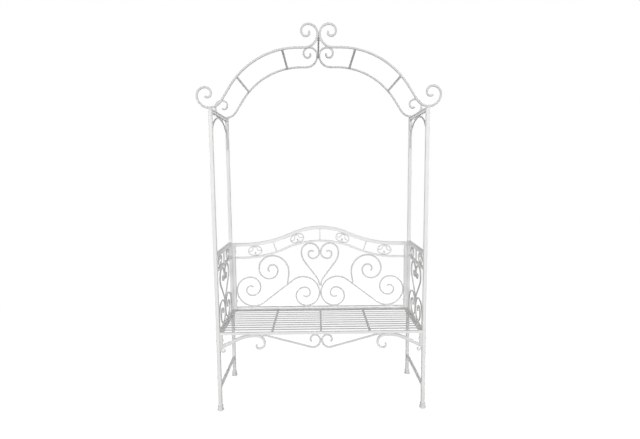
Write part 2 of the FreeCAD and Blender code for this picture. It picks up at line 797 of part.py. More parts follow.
for side_name, side in SIDES.items():
    scroll = round_bar(f"apron_scroll_{side_name}", "XZ_Plane", mirrored(long_scroll, -side), "apron_bar")
    place(scroll, "0", str(rail_front))
    keep(scroll, f"apron_scroll_{side_name}")
    band = new_body(f"corner_scroll_{side_name}")
    outline = sketch_on(band, "XZ_Plane", band.Name + "_outline")
    for points in band_outline:
        ends = [Vector(-side * point.x, point.y) for point in points]
        outline.addGeometry(Part.Arc(*ends) if len(ends) == 3 else Part.LineSegment(*ends))
    pad = band.newObject("PartDesign::Pad", band.Name + "_plate")
    pad.Profile = outline
    pad.SideType = "Symmetric"
    pad.setExpression("Length", "Sizes.corner_depth")
    place(band, "0", str(rail_front))
    keep(band, f"corner_scroll_{side_name}")
    tab = straight_bar(f"end_tab_{side_name}", "Z", "Sizes.tab_width", "Sizes.seat_rail_width",
                       "Sizes.tab_length", "Sizes.seat_wall")
    place(tab, f"{side} * (Sizes.post_spacing_x - Sizes.post_size - Sizes.tab_width) / 2",
          str(rail_front), "Sizes.seat_level - Sizes.seat_rail_depth - Sizes.tab_length / 2")
    drill(tab, "X", [(0, size("tab_length") / 2 - size("tab_bolt_drop"))])
    hook = round_bar(f"tab_hook_{side_name}", "XZ_Plane", mirrored(hook_path, -side), "hook_bar")
    place(hook, "0", str(rail_front))
    group(f"tab_{side_name}", [tab, hook])

# Back panel: stiles bolted to the rear posts, a sill and two wavy rails

back_half = size("back_size") / 2
stile_inner = inner_x - size("back_size")
sill_top = size("seat_level") + size("back_sill_rise") + back_half
back_top_height = "(Sizes.back_rail_height + Sizes.back_band_height)"
half_wave = stile_inner - size("back_level_run")


def wave_level(name):
    """Height of the level ends of a wavy rail; the top rail lies a band's height over the second."""
    above = size("back_band_height") if name == "back_top" else 0
    return size("seat_level") + size("back_rail_height") + above


def wave(name):
    """Radius and turn of the hollow parts of a wavy rail, from its rise and the radius of its crest."""
    rise = size(name + "_rise")
    both = (half_wave ** 2 + rise ** 2) / (2 * rise)
    return both - size(name + "_crest"), math.degrees(2 * math.atan(rise / half_wave))


def wavy_rail(label, name, reach, section, wall):
    """A square tube that lies level at both ends and rises to a crest in the middle."""
    body = new_body(label)
    hollow, angle = wave(name)
    level = wave_level(name)
    level_run = reach - half_wave
    steps = [run(level_run), turn(hollow, angle), turn(name + "_crest", -2 * angle),
             turn(hollow, angle), run(level_run)]
    path, _ = draw_path(body, "XZ_Plane", walk((-reach, level), 0, steps))
    profile = sketch_on(body, "YZ_Plane", label + "_section", Vector(0, level, -reach))
    draw_section(profile, section, section, wall)
    doc.recompute()
    pipe = body.newObject("PartDesign::AdditivePipe", label + "_tube")
    pipe.Profile = profile
    pipe.Spine = path
    place(body, "0", rear_plane)
    return keep(body, label)


def rail_surface(name, x, offset):
    """Height of a wavy rail at x, moved off its middle by an offset square to the rail."""
    hollow, angle = wave(name)
    level = wave_level(name)
    crest = size(name + "_crest")
    if abs(x) < crest * math.sin(math.radians(angle)):
        return level + size(name + "_rise") - crest + math.sqrt((crest + offset) ** 2 - x ** 2)
    past = half_wave - abs(x)
    return level + hollow - math.sqrt((hollow - offset) ** 2 - past ** 2)


for side_name, side in SIDES.items():
    stile = straight_bar(f"back_stile_{side_name}", "Z", "Sizes.back_size", "Sizes.back_size",
                         f"({back_top_height} - Sizes.back_sill_rise)", "Sizes.back_wall")
    place(stile, f"{side} * (Sizes.post_spacing_x - Sizes.post_size - Sizes.back_size) / 2", rear_plane,
          f"Sizes.seat_level + ({back_top_height} + Sizes.back_sill_rise - Sizes.back_size) / 2")
    sill_middle = size("seat_level") + size("back_sill_rise")
    stile_middle = (wave_level("back_top") + sill_middle) / 2 - back_half
    drill(stile, "X", [(0, level - stile_middle) for level in back_bolt_levels])
    keep(stile, f"back_stile_{side_name}")

sill = straight_bar("back_sill", "X", "Sizes.back_size", "Sizes.back_size",
                    "(Sizes.post_spacing_x - Sizes.post_size - 2 * Sizes.back_size)", "Sizes.back_wall")
place(sill, "0", rear_plane, "Sizes.seat_level + Sizes.back_sill_rise")
keep(sill, "back_sill")
wavy_rail("back_top_rail", "back_top", inner_x, "Sizes.back_size", "Sizes.back_wall")
wavy_rail("back_second_rail", "back_rail", stile_inner, "Sizes.back_rail_size", "Sizes.back_rail_wall")

# Rosettes and dividers stand between the two wavy rails, square to them

second_half = size("back_rail_size") / 2
REACH_TOLERANCE = 1e-6


def between_rails(x):
    """Middle, lean and clear height of the gap between the two rails near x."""
    step = 1
    upper = rail_surface("back_top", x, -back_half)
    lower = rail_surface("back_rail", x, second_half)
    rise = (rail_surface("back_top", x + step, -back_half) + rail_surface("back_rail", x + step, second_half)
            - upper - lower) / 2
    lean = math.atan2(rise, step)
    middle = (upper + lower) / 2

    def reach(direction, name, offset):
        """Distance from the middle, square to the rails, to the face of one rail."""
        near, far = 0, upper - lower
        while far - near > REACH_TOLERANCE:
            probe = (near + far) / 2
            u = x - direction * probe * math.sin(lean)
            v = middle + direction * probe * math.cos(lean)
            inside = direction * (rail_surface(name, u, offset) - v) > 0
            near, far = (probe, far) if inside else (near, probe)
        return near

    up = reach(1, "back_top", -back_half)
    down = reach(-1, "back_rail", second_half)
    shift = (up - down) / 2
    centre = (x - shift * math.sin(lean), middle + shift * math.cos(lean))
    return centre, math.degrees(lean), up + down


rear_y = half_y
back_rosettes = []
for side_name, side in SIDES.items():
    for name in ("outer", "inner"):
        centre, lean, clear = between_rails(side * size(f"{name}_rosette_offset"))
        back_rosettes += rosette(f"back_rosette_{name}_{side_name}", "XZ_Plane", centre, lean, clear,
                                 rear_y)
group("back_rosettes", back_rosettes)

dividers = []
for number, x in enumerate([-size("back_divider_offset"), 0, size("back_divider_offset")], start=1):
    (u, v), lean, clear = between_rails(x)
    divider = straight_bar(f"back_divider_{number}", "Z", "Sizes.divider_size", "Sizes.divider_size",
                           str(clear - size("divider_play")))
    divider.Placement = Placement(Vector(u, rear_y, v), Rotation(Vector(0, -1, 0), lean))
    dividers.append(divider)
group("back_dividers", dividers)

# Double scrolls on the sill: each runs from a spiral at the stile to one at the middle

shoulder = size("scroll_shoulder")
inward = ["scroll_breast", "scroll_curl_a", "scroll_curl_b", "scroll_curl_c", "scroll_curl_d"]
low_extreme = (-(stile_inner - bar), sill_top + bar + shoulder)
high_extreme = (-bar, sill_top + bar + size("scroll_breast"))
joining = s_bend("scroll_shoulder", "scroll_shoulder", low_extreme[1] - high_extreme[1],
                 high_extreme[0] - low_extreme[0])
double_scroll = backwards(walk(low_extreme, 90, curl(inward, "scroll_eye", -1)))
double_scroll += walk(low_extreme, -90, joining + curl(inward, "scroll_eye", -1))

# Upper scrolls hang from the second rail and stand with one foot on the double scroll

upper_x = -size("upper_scroll_offset")
hollow, _ = wave("back_rail")
rail_centre = (-half_wave, wave_level("back_rail") + hollow)
touching = hollow + second_half + bar + size("scroll_breast")
breast_level = rail_centre[1] - math.sqrt(touching ** 2 - (upper_x - rail_centre[0]) ** 2)
upper_top = (upper_x, breast_level + size("scroll_breast"))
upper_extreme = (upper_x + shoulder, upper_top[1] - shoulder)
slant_start, slant_end = walk(low_extreme, -90, joining)[1]["ends"]
slant = math.atan2(slant_end[1] - slant_start[1], slant_end[0] - slant_start[0])
foot_radius = size("upper_scroll_foot")
foot_angle = 0
FOOT_ANGLE_STEP = 0.01


def foot_gap(angle):
    """Distance from the slant's bar to the nearest corner of a foot that has turned by an angle."""
    x = upper_extreme[0] - foot_radius * (1 - math.cos(math.radians(angle)))
    y = upper_extreme[1] - foot_radius * math.sin(math.radians(angle))
    above = (y - slant_start[1]) * math.cos(slant) - (x - slant_start[0]) * math.sin(slant)
    lean = math.radians(90 - angle) - slant
    return above - bar - bar * abs(math.cos(lean))


while foot_gap(foot_angle) > 0:
    foot_angle += FOOT_ANGLE_STEP
foot_angle -= FOOT_ANGLE_STEP
upper_scroll = backwards(walk(upper_extreme, -90, [turn("upper_scroll_foot", -foot_angle)]))
upper_scroll += walk(upper_extreme, 90, [turn("scroll_shoulder", 90)]
                     + curl(inward, "scroll_eye", 1))

# The heart hangs from the second rail and its point rests between the two middle spirals

crest_centre = wave_level("back_rail") + size("back_rail_rise") - size("back_rail_crest")
lobe_x = bar + size("heart_inner")
lobe_reach = size("back_rail_crest") - second_half - bar - size("heart_outer")
lobe_level = crest_centre + math.sqrt(lobe_reach ** 2 - lobe_x ** 2)
heart_extreme = (-(lobe_x + size("heart_outer")), lobe_level)
point_level = high_extreme[1] + math.sqrt((shoulder + bar) ** 2 - (shoulder - bar) ** 2)
heart_path = backwards(walk(heart_extreme, 90,
                            [turn("heart_outer", -90), turn("heart_inner", -90)]
                            + curl(["heart_curl_a", "heart_curl_b", "heart_curl_c"], "heart_eye", -1)))
heart_fall = heart_extreme[1] - point_level
heart_reach = -bar - heart_extreme[0]
heart_flank = other_radius("heart_tail", "heart_straight", heart_fall, heart_reach)
heart_path += walk(heart_extreme, -90, s_bend(heart_flank, "heart_tail", heart_fall, heart_reach))

heart_halves = []
for side_name, side in SIDES.items():
    for name, path in [("back_double_scroll", double_scroll), ("back_upper_scroll", upper_scroll)]:
        scroll = round_bar(f"{name}_{side_name}", "XZ_Plane", mirrored(path, -side), "panel_bar")
        place(scroll, "0", rear_plane)
        keep(scroll, f"{name}_{side_name}")
    half = round_bar(f"back_heart_{side_name}", "XZ_Plane", mirrored(heart_path, -side), "panel_bar")
    place(half, "0", rear_plane)
    heart_halves.append(half)
group("back_heart", heart_halves)

# Arch: two hoops in two halves each, tied by square bars and bolted at the ridge and the base

hoop = size("hoop_bar") / 2
base_top = size("post_height") + size("base_plate_thickness")
hoop_foot = (-(half_x + size("hoop_foot_overhang")), base_top + hoop)
flat_start = (-size("hoop_flat_offset"), hoop_foot[1] + size("hoop_rise"))
hoop_reach = flat_start[0] - hoop_foot[0]
shoulder_radius = other_radius("hoop_heel", "hoop_straight", hoop_reach, size("hoop_rise"))
side_bend = s_bend("hoop_heel", shoulder_radius, hoop_reach, size("hoop_rise"))
neck_run = -hoop - size("hoop_neck") - flat_start[0]
hoop_path = backwards(walk(hoop_foot, 180, curl(["hoop_curl_a", "hoop_curl_b", "hoop_curl_c",
                                                 "hoop_curl_d"], "hoop_curl_eye", -1)))
hoop_path += walk(hoop_foot, 0, side_bend + [run(neck_run), turn("hoop_neck", 90)]
                  + curl(["hoop_crown_a", "hoop_crown_b", "hoop_crown_c", "hoop_crown_d"],
                         "hoop_crown_eye", 1))
for end_name, end in ENDS.items():
    for side_name, side in SIDES.items():
        half = round_bar(f"hoop_{end_name}_{side_name}", "XZ_Plane", mirrored(hoop_path, -side), "hoop_bar")
        place(half, "0", f"{end} * Sizes.post_spacing_y / 2")
        keep(half, f"hoop_{end_name}_{side_name}")

tie_length = "(Sizes.post_spacing_y - Sizes.hoop_bar)"
ties = []
for side_name, side in SIDES.items():
    for name in ("lower", "upper"):
        lean = size(f"{name}_tie_angle")
        tie_x = size("hoop_flat_offset") + shoulder_radius * math.sin(math.radians(lean))
        level = flat_start[1] - shoulder_radius * (1 - math.cos(math.radians(lean)))
        tie = straight_bar(f"tie_{name}_{side_name}", "Y", "Sizes.tie_size", "Sizes.tie_size", tie_length)
        tie.Placement = Placement(Vector(side * tie_x, 0, level),
                                  Rotation(Vector(0, 1, 0), side * lean))
        ties.append(tie)
group("arch_ties", ties)

base_plates = []
for side_name, side in SIDES.items():
    plate = straight_bar(f"base_plate_{side_name}", "Y", "Sizes.post_size", "Sizes.base_plate_thickness",
                         "(Sizes.post_spacing_y + Sizes.post_size)")
    place(plate, side_x(side), "0", "Sizes.post_height + Sizes.base_plate_thickness / 2")
    drill(plate, "Z", [(0, -size("base_bolt_offset")), (0, size("base_bolt_offset"))])
    base_plates.append(plate)
group("base_plates", base_plates)

ridge_level = flat_start[1] + size("hoop_neck")
ridge_plates = []
for side_name, side in SIDES.items():
    plate = straight_bar(f"ridge_plate_{side_name}", "Y", "Sizes.ridge_plate_thickness",
                         "Sizes.ridge_plate_height", tie_length)
    place(plate, f"{side} * Sizes.ridge_plate_thickness / 2", "0",
          str(ridge_level) + " - Sizes.ridge_plate_drop")
    drill(plate, "X", [(-size("ridge_bolt_offset"), 0), (size("ridge_bolt_offset"), 0)])
    ridge_plates.append(plate)
group("ridge_plates", ridge_plates)


# Bolts with their nuts


def bolt_and_nut(label, head_seat, direction, grip):
    """A hexagon bolt with its head's underside at a point, clamping a grip, and its nut."""
    corner = size("hex_width") / math.sqrt(3)
    head = doc.addObject("Part::Prism", label + "_head")
    head.Polygon = 6
    head.Circumradius = corner
    head.setExpression("Height", "Sizes.bolt_head_height")
    shank = doc.addObject("Part::Cylinder", label + "_shank")
    shank.setExpression("Radius", "Sizes.bolt_size / 2")
    shank.setExpression("Height", f"{grip} + Sizes.nut_height + Sizes.bolt_tip")
    shank.setExpression("Placement.Base.z", f"-({grip} + Sizes.nut_height + Sizes.bolt_tip)")
    bolt = doc.addObject("Part::Fuse", label + "_bolt")
    bolt.Base = head
    bolt.Tool = shank
    blank = doc.addObject("Part::Prism", label + "_blank")
    blank.Polygon = 6
    blank.Circumradius = corner
    blank.setExpression("Height", "Sizes.nut_height")
    thread = doc.addObject("Part::Cylinder", label + "_thread")
    thread.setExpression("Radius", "Sizes.bolt_size / 2 + Sizes.nut_play")
    thread.setExpression("Height", "Sizes.nut_height")
    nut = doc.addObject("Part::Cut", label + "_nut")
    nut.Base = blank
    nut.Tool = thread
    outward = Rotation(Vector(0, 0, 1), Vector(*direction))
    bolt.Placement = Placement(Vector(*head_seat), outward)
    nut_seat = Vector(*head_seat) - Vector(*direction) * (grip + size("nut_height"))
    nut.Placement = Placement(nut_seat, outward)
    return [bolt, nut]


back_bolts, seat_bolts, tab_bolts, base_bolts = [], [], [], []
outer_x = half_x + size("post_size") / 2
for side_name, side in SIDES.items():
    outward = (side, 0, 0)
    for level in back_bolt_levels:
        back_bolts += bolt_and_nut(f"back_fixing_{side_name}_{int(level)}", (side * outer_x, rear_y, level),
                                   outward, size("post_size") + size("back_size"))
    for number, y in enumerate(seat_bolts_y):
        seat_bolts += bolt_and_nut(f"seat_fixing_{side_name}_{number}",
                                   (side * (inner_x + size("rail_size")), y, seat_bolt_level),
                                   outward, size("rail_size") + size("seat_side_width"))
    tab_bolts += bolt_and_nut(f"tab_fixing_{side_name}",
                              (side * outer_x, rail_front, apron_top - size("tab_bolt_drop")),
                              outward, size("post_size") + size("tab_width"))
    for end_name, end in ENDS.items():
        base_bolts += bolt_and_nut(f"base_fixing_{side_name}_{end_name}",
                                   (side * half_x, end * size("base_bolt_offset"), base_top), (0, 0, 1),
                                   size("base_plate_thickness") + size("rail_size"))
ridge_bolts = []
for end_name, end in ENDS.items():
    seat_point = (size("ridge_plate_thickness"), end * size("ridge_bolt_offset"),
                  ridge_level - size("ridge_plate_drop"))
    ridge_bolts += bolt_and_nut(f"ridge_fixing_{end_name}", seat_point, (1, 0, 0),
                                2 * size("ridge_plate_thickness"))
group("back_bolts", back_bolts)
group("seat_bolts", seat_bolts)
group("tab_bolts", tab_bolts)
group("base_bolts", base_bolts)
group("ridge_bolts", ridge_bolts)

# Everything has to be whole before any piece is written

doc.recompute()
for thing in doc.Objects:
    if "Invalid" in thing.State or "Error" in thing.State:
        raise RuntimeError(f"{thing.Label} is not valid: {thing.State}")
for node in nodes:
    if node.Shape.isNull() or not node.Shape.isValid():
        raise RuntimeError(f"{node.Label} has no valid shape")
os.makedirs("parts", exist_ok=True)
for node in nodes:
    node.Shape.exportStep(f"parts/{node.Label}.step")
print(f"{len(nodes)} pieces written")
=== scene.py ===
import math

import bpy
import numpy as np
from mathutils import Matrix, Vector


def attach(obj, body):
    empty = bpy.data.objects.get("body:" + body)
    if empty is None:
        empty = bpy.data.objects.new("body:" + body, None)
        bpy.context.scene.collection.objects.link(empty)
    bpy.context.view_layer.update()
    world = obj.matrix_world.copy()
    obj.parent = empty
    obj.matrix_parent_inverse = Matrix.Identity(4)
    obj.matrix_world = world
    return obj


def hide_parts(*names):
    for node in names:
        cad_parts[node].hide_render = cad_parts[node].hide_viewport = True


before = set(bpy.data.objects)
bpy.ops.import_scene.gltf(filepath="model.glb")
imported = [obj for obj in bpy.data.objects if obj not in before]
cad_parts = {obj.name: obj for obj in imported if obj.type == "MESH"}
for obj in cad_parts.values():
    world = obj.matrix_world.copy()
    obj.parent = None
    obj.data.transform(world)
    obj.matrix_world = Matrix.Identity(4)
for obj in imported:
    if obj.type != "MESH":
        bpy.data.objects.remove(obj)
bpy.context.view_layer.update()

# Corner posts. Four square steel tubes with softly rounded corners stand in the feet and
# carry everything else. Like every piece of the arbour but its bolts they wear a white
# powder coat, satin and faintly uneven, greyer low down and thinner on the corners, where
# the grey line is partly painted shade. On the bars, trims and flat stock an even grey is
# painted shade.

POST_SIZE = 0.020
POST_TOP = 1.700
POST_X = 0.585
POST_Y = 0.215
SOCKET_FLOOR = 0.008
TUBE_CORNER = 0.0022
SAW_CHAMFER = 0.0005
CREASE_ANGLE = 42.0
FLAT_FACE_WEIGHT = 90
COAT_DEPTH = 0.0003
SIDES = {"left": -1, "right": 1}
ENDS = {"front": -1, "rear": 1}
COAT_WHITE = (0.89, 0.89, 0.882, 1.0)
COAT_SHADE = (0.70, 0.70, 0.69, 1.0)
# Grey of the corner line: partly thin coat, partly painted shade.
EDGE_THIN_AND_SHADE_GREY = (0.50, 0.50, 0.49, 1.0)
SPLASH_GREY = (0.60, 0.59, 0.56, 1.0)
X_AXIS, Y_AXIS, Z_AXIS = np.eye(3)


def square_section(width, height, corner=TUBE_CORNER, steps=4):
    """Outline of a square bar and how near each point is to the middle of a corner.

    Each corner is a quarter circle about a point set in from both faces, and the nearness
    is the sine of twice the angle turned. A row of widths gives a row of outlines.
    """
    width = np.asarray(width, float)[..., None, None]
    swing = np.linspace(0, math.pi / 2, steps + 1)
    angle = swing + np.arange(4)[:, None] * math.pi / 2
    inset_u = np.array([1, -1, -1, 1])[:, None] * (width / 2 - corner)
    inset_v = np.array([1, 1, -1, -1])[:, None] * (height / 2 - corner)
    outline = np.stack(np.broadcast_arrays(inset_u + corner * np.cos(angle),
                                           inset_v + corner * np.sin(angle)), -1)
    return outline.reshape(width.shape[:-2] + (-1, 2)), np.tile(np.sin(2 * swing), 4)


def skin(points, edge, closed=False):
    """Surface through rows of points that each close into a ring.

    Quads join neighbours, and the first and last rows are capped or joined to each other.
    """
    rows, columns = points.shape[:2]
    row = np.arange(rows if closed else rows - 1)[:, None]
    column = np.arange(columns)
    after_row, after_column = (row + 1) % rows, (column + 1) % columns
    quads = np.stack([row * columns + column, row * columns + after_column,
                      after_row * columns + after_column, after_row * columns + column], axis=-1)
    caps = [] if closed else [column[::-1], (rows - 1) * columns + column]
    return points.reshape(-1, 3), quads.reshape(-1, 4), caps, np.tile(edge, rows)


def carry(section, places, ahead, across, scale=1.0, closed=False):
    """Surface of a section carried along a path.

    Point (i, j) is place i, plus point j of the outline times scale i, its first number
    measured along across crossed with ahead and its second along across.
    """
    outline, edge = section
    side = np.cross(across, ahead)[:, None]
    reach = outline * np.broadcast_to(scale, len(places))[:, None, None]
    return skin(places[:, None] + reach[..., :1] * side + reach[..., 1:] * across, edge, closed)


def straight(start, end, across, section, chamfer=SAW_CHAMFER):
    """A straight bar: its section carried from start to end, drawn in a little at both faces."""
    start, end = np.array(start, float), np.array(end, float)
    length = np.linalg.norm(end - start)
    ahead = (end - start) / length
    stations = np.array([0, chamfer, length - chamfer, length])[:, None]
    drawn_in = 1 - chamfer / section[0].max()
    return carry(section, start + stations * ahead, np.tile(ahead, (4, 1)), np.array(across, float),
                 [drawn_in, 1, 1, drawn_in])


def add_piece(name, parts, material, slot, *nodes):
    """One object made of several surfaces, with the nearness to a corner kept as an attribute."""
    counts = np.cumsum([0] + [len(part[0]) for part in parts])
    faces = []
    for first, (_, quads, caps, _) in zip(counts, parts):
        faces += (quads + first).tolist() + [(cap + first).tolist() for cap in caps]
    mesh = bpy.data.meshes.new(name)
    mesh.from_pydata(np.concatenate([part[0] for part in parts]), [], faces)
    nearness = mesh.attributes.new("edge", "FLOAT", "POINT")
    nearness.data.foreach_set("value", np.concatenate([part[3] for part in parts]).astype(np.float32))
    mesh.shade_smooth()
    mesh.set_sharp_from_angle(angle=math.radians(CREASE_ANGLE))
    mesh.materials.append(material)
    thing = bpy.data.objects.new(name, mesh)
    bpy.context.scene.collection.objects.link(thing)
    even = thing.modifiers.new("even_shading", "WEIGHTED_NORMAL")
    even.keep_sharp = True
    even.weight = FLAT_FACE_WEIGHT
    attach(thing, "root")
    if nodes:
        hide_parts(*nodes)


def add_node(tree, kind, **values):
    """One shader node with its plain inputs set by name."""
    node = tree.nodes.new(kind)
    for name, value in values.items():
        node.inputs[name.replace("_", " ")].default_value = value
    return node


def blend_colour(tree, amount, first, second):
    """Mix two colours, each a plain value or another node's output, by an amount."""
    mix = tree.nodes.new("ShaderNodeMix")
    mix.data_type = "RGBA"
    tree.links.new(amount, mix.inputs["Factor"])
    for name, colour in (("A", first), ("B", second)):
        socket = next(s for s in mix.inputs if s.name == name and s.type == "RGBA")
        if isinstance(colour, tuple):
            socket.default_value = colour
        else:
            tree.links.new(colour, socket)
    return next(s for s in mix.outputs if s.type == "RGBA")


def calculate(tree, operation, *values):
    """The outcome of one sum on other nodes' outputs."""
    node = tree.nodes.new("ShaderNodeMath")
    node.operation = operation
    for value, socket in zip(values, node.inputs):
        tree.links.new(value, socket)
    return node.outputs[0]


def mottle(tree, place, **values):
    """Noise laid out in the object's coordinates."""
    noise = add_node(tree, "ShaderNodeTexNoise", **values)
    tree.links.new(place["Object"], noise.inputs["Vector"])
    return noise


def ramp(tree, source, **values):
    """An output stretched evenly from one range of values to another."""
    stretch = add_node(tree, "ShaderNodeMapRange", **values)
    tree.links.new(source, stretch.inputs["Value"])
    return stretch.outputs["Result"]


def height_of(tree, vector):
    """The upward part of a vector."""
    parts = tree.nodes.new("ShaderNodeSeparateXYZ")
    tree.links.new(vector, parts.inputs["Vector"])
    return parts.outputs["Z"]


def coat_group():
    """Tone, roughness and relief of the powder coat.

    Soft clouds blend a white with a greyer one, and greyness adds to it evenly; on the
    bars, trims and flat stock that greyness is painted shade. The corners show a greyer
    line, partly where the coat has drawn back and partly painted shade like a dark
    outline, broken up by noise. Near the ground speckled splashes grey it, and a film of
    dust lies on what faces up. The relief is fine orange peel over slow waves.
    """
    tree = bpy.data.node_groups.new("powder_coat", "ShaderNodeTree")
    face = tree.interface
    for name, value in [("Cloud Scale", 12.0), ("Peel Scale", 700.0), ("Unevenness", 0.2), ("Greyness", 0.0),
                        ("Thin Edges", 0.5), ("Splash Height", 0.16), ("Dust", 0.15)]:
        face.new_socket(name, in_out="INPUT", socket_type="NodeSocketFloat").default_value = value
    for name, kind in [("Color", "Color"), ("Roughness", "Float"), ("Height", "Float")]:
        face.new_socket(name, in_out="OUTPUT", socket_type="NodeSocket" + kind)
    join = tree.links.new
    given = tree.nodes.new("NodeGroupInput").outputs
    result = tree.nodes.new("NodeGroupOutput").inputs
    place = tree.nodes.new("ShaderNodeTexCoord").outputs

    clouds = mottle(tree, place, Detail=5.0, Roughness=0.6)
    join(given["Cloud Scale"], clouds.inputs["Scale"])
    cloudy = ramp(tree, clouds.outputs["Fac"], From_Min=0.35, From_Max=0.7)
    # Greyness, where set, darkens the coat evenly; on the bars, trims and flat stock it is painted shade.
    grey = calculate(tree, "MULTIPLY_ADD", cloudy, given["Unevenness"], given["Greyness"])
    tone = blend_colour(tree, grey, COAT_WHITE, COAT_SHADE)

    # Painted shade and thin coat: the corners grey, partly as thinner coat and partly as a painted dark
    # outline of shade.
    near = tree.nodes.new("ShaderNodeAttribute")
    near.attribute_name = "edge"
    breaks = mottle(tree, place, Scale=85.0, Detail=4.0)
    patchy = ramp(tree, breaks.outputs["Fac"], From_Min=0.3, From_Max=0.65, To_Min=0.25)
    corner = calculate(tree, "MULTIPLY", near.outputs["Fac"], patchy)
    thin_and_shaded = calculate(tree, "MULTIPLY", corner, given["Thin Edges"])
    edged = blend_colour(tree, thin_and_shaded, tone, EDGE_THIN_AND_SHADE_GREY)

    low = add_node(tree, "ShaderNodeMapRange", From_Min=0.0, To_Min=0.6, To_Max=0.0)
    join(height_of(tree, place["Object"]), low.inputs["Value"])
    join(given["Splash Height"], low.inputs["From Max"])
    speckle = mottle(tree, place, Scale=190.0, Detail=3.0)
    splash = calculate(tree, "MULTIPLY", low.outputs["Result"], speckle.outputs["Fac"])
    splashed = blend_colour(tree, splash, edged, SPLASH_GREY)

    upward = ramp(tree, height_of(tree, place["Normal"]), From_Min=0.6, From_Max=0.95)
    film = calculate(tree, "MULTIPLY", upward, cloudy)
    dust = calculate(tree, "MULTIPLY", film, given["Dust"])
    join(blend_colour(tree, dust, splashed, SPLASH_GREY), result["Color"])
    join(ramp(tree, clouds.outputs["Fac"], To_Min=0.34, To_Max=0.52), result["Roughness"])

    peel = mottle(tree, place, Detail=2.0)
    join(given["Peel Scale"], peel.inputs["Scale"])
    waves = mottle(tree, place, Scale=60.0, Detail=1.0)
    join(calculate(tree, "ADD", peel.outputs["Fac"], waves.outputs["Fac"]), result["Height"])
    return tree


POWDER_COAT = coat_group()


def coat_material(name, relief, **settings):
    """A powder-coated steel whose group is set for one kind of stock."""
    material = bpy.data.materials.new(name)
    material.use_nodes = True
    tree = material.node_tree
    shader = tree.nodes["Principled BSDF"]
    shader.inputs["Specular IOR Level"].default_value = 0.3
    coat = tree.nodes.new("ShaderNodeGroup")
    coat.node_tree = POWDER_COAT
    for setting, value in settings.items():
        coat.inputs[setting.replace("_", " ")].default_value = value
    bump = add_node(tree, "ShaderNodeBump", Strength=relief, Distance=COAT_DEPTH)
    tree.links.new(coat.outputs["Color"], shader.inputs["Base Color"])
    tree.links.new(coat.outputs["Roughness"], shader.inputs["Roughness"])
    tree.links.new(coat.outputs["Height"], bump.inputs["Height"])
    tree.links.new(bump.outputs["Normal"], shader.inputs["Normal"])
    return material


tube_coat = coat_material("tube_coat", 0.25, Cloud_Scale=9.0, Peel_Scale=700.0, Unevenness=0.18,
                          Thin_Edges=0.6)
post_section = square_section(POST_SIZE, POST_SIZE)
for end_name, end in ENDS.items():
    for side_name, side in SIDES.items():
        x, y = side * POST_X, end * POST_Y
        post = straight((x, y, SOCKET_FLOOR), (x, y, POST_TOP), X_AXIS, post_section)
        add_piece(f"square_post_{end_name}_{side_name}", [post], tube_coat, "tube_paint",
                  f"post_{end_name}_{side_name}")

# Feet. Small cast-iron shoes: a round flange on the ground, an inward-curving flare above
# it and a raised bead round the mouth of the square socket that the post is set into.

FOOT_RADIUS = 0.019
FOOT_HEIGHT = 0.028
FOOT_RIM = 0.004
FOOT_NECK = 0.0157
FOOT_TURNS = 48
RIM_ROUND = 0.0012
MOUTH_ROUND = 0.0011
SOLE_CHAMFER = 0.0015
BEAD_OVERHANG = 0.0008
FLARE_POWER = 2.2
FLARE_START = 0.08
foot_coat = coat_material("foot_coat", 0.7, Cloud_Scale=35.0, Peel_Scale=330.0, Unevenness=0.35,
                          Splash_Height=0.1, Thin_Edges=0.2)


def turned(profile, x, y):
    """Closed surface of a profile of radii and levels turned about an upright axis at x and y."""
    angle = np.linspace(0, 2 * math.pi, FOOT_TURNS, endpoint=False)
    radius, level = profile[:, :1], profile[:, 1:]
    across, deep = x + radius * np.cos(angle), y + radius * np.sin(angle)
    return skin(np.stack(np.broadcast_arrays(across, deep, level), axis=-1), np.zeros(FOOT_TURNS))


def rounded(outer, top, radius, start):
    """Round edge of a profile: an arc below a top level and inside an outer radius, from a
    start angle up to a quarter turn."""
    swing = np.linspace(start, math.pi / 2, 7)
    return np.stack([outer - radius + radius * np.cos(swing), top - radius + radius * np.sin(swing)], axis=-1)


sole = np.array([[FOOT_RADIUS - SOLE_CHAMFER, 0.0], [FOOT_RADIUS, RIM_ROUND]])
rim = rounded(FOOT_RADIUS, FOOT_RIM, RIM_ROUND, 0)
share = np.linspace(FLARE_START, 1, 12)
throat = FOOT_NECK - BEAD_OVERHANG
flare = np.stack([throat + (FOOT_RADIUS - RIM_ROUND - throat) * (1 - share) ** FLARE_POWER,
                  FOOT_RIM + (FOOT_HEIGHT - 2 * MOUTH_ROUND - FOOT_RIM) * share], axis=-1)
mouth = rounded(FOOT_NECK, FOOT_HEIGHT, MOUTH_ROUND, -math.pi / 2)
foot_profile = np.concatenate([sole, rim, flare, mouth])
feet = [turned(foot_profile, side * POST_X, end * POST_Y) for end in ENDS.values() for side in SIDES.values()]
add_piece("cast_feet", feet, foot_coat, "foot_paint", "feet")

# Side rails. Five square tubes join each pair of posts: a stretcher near the ground, the
# seat support, two rails of the arm band and the top bar that carries the arch. All are
# welded in, and the seat support is flush with the posts' inner faces.

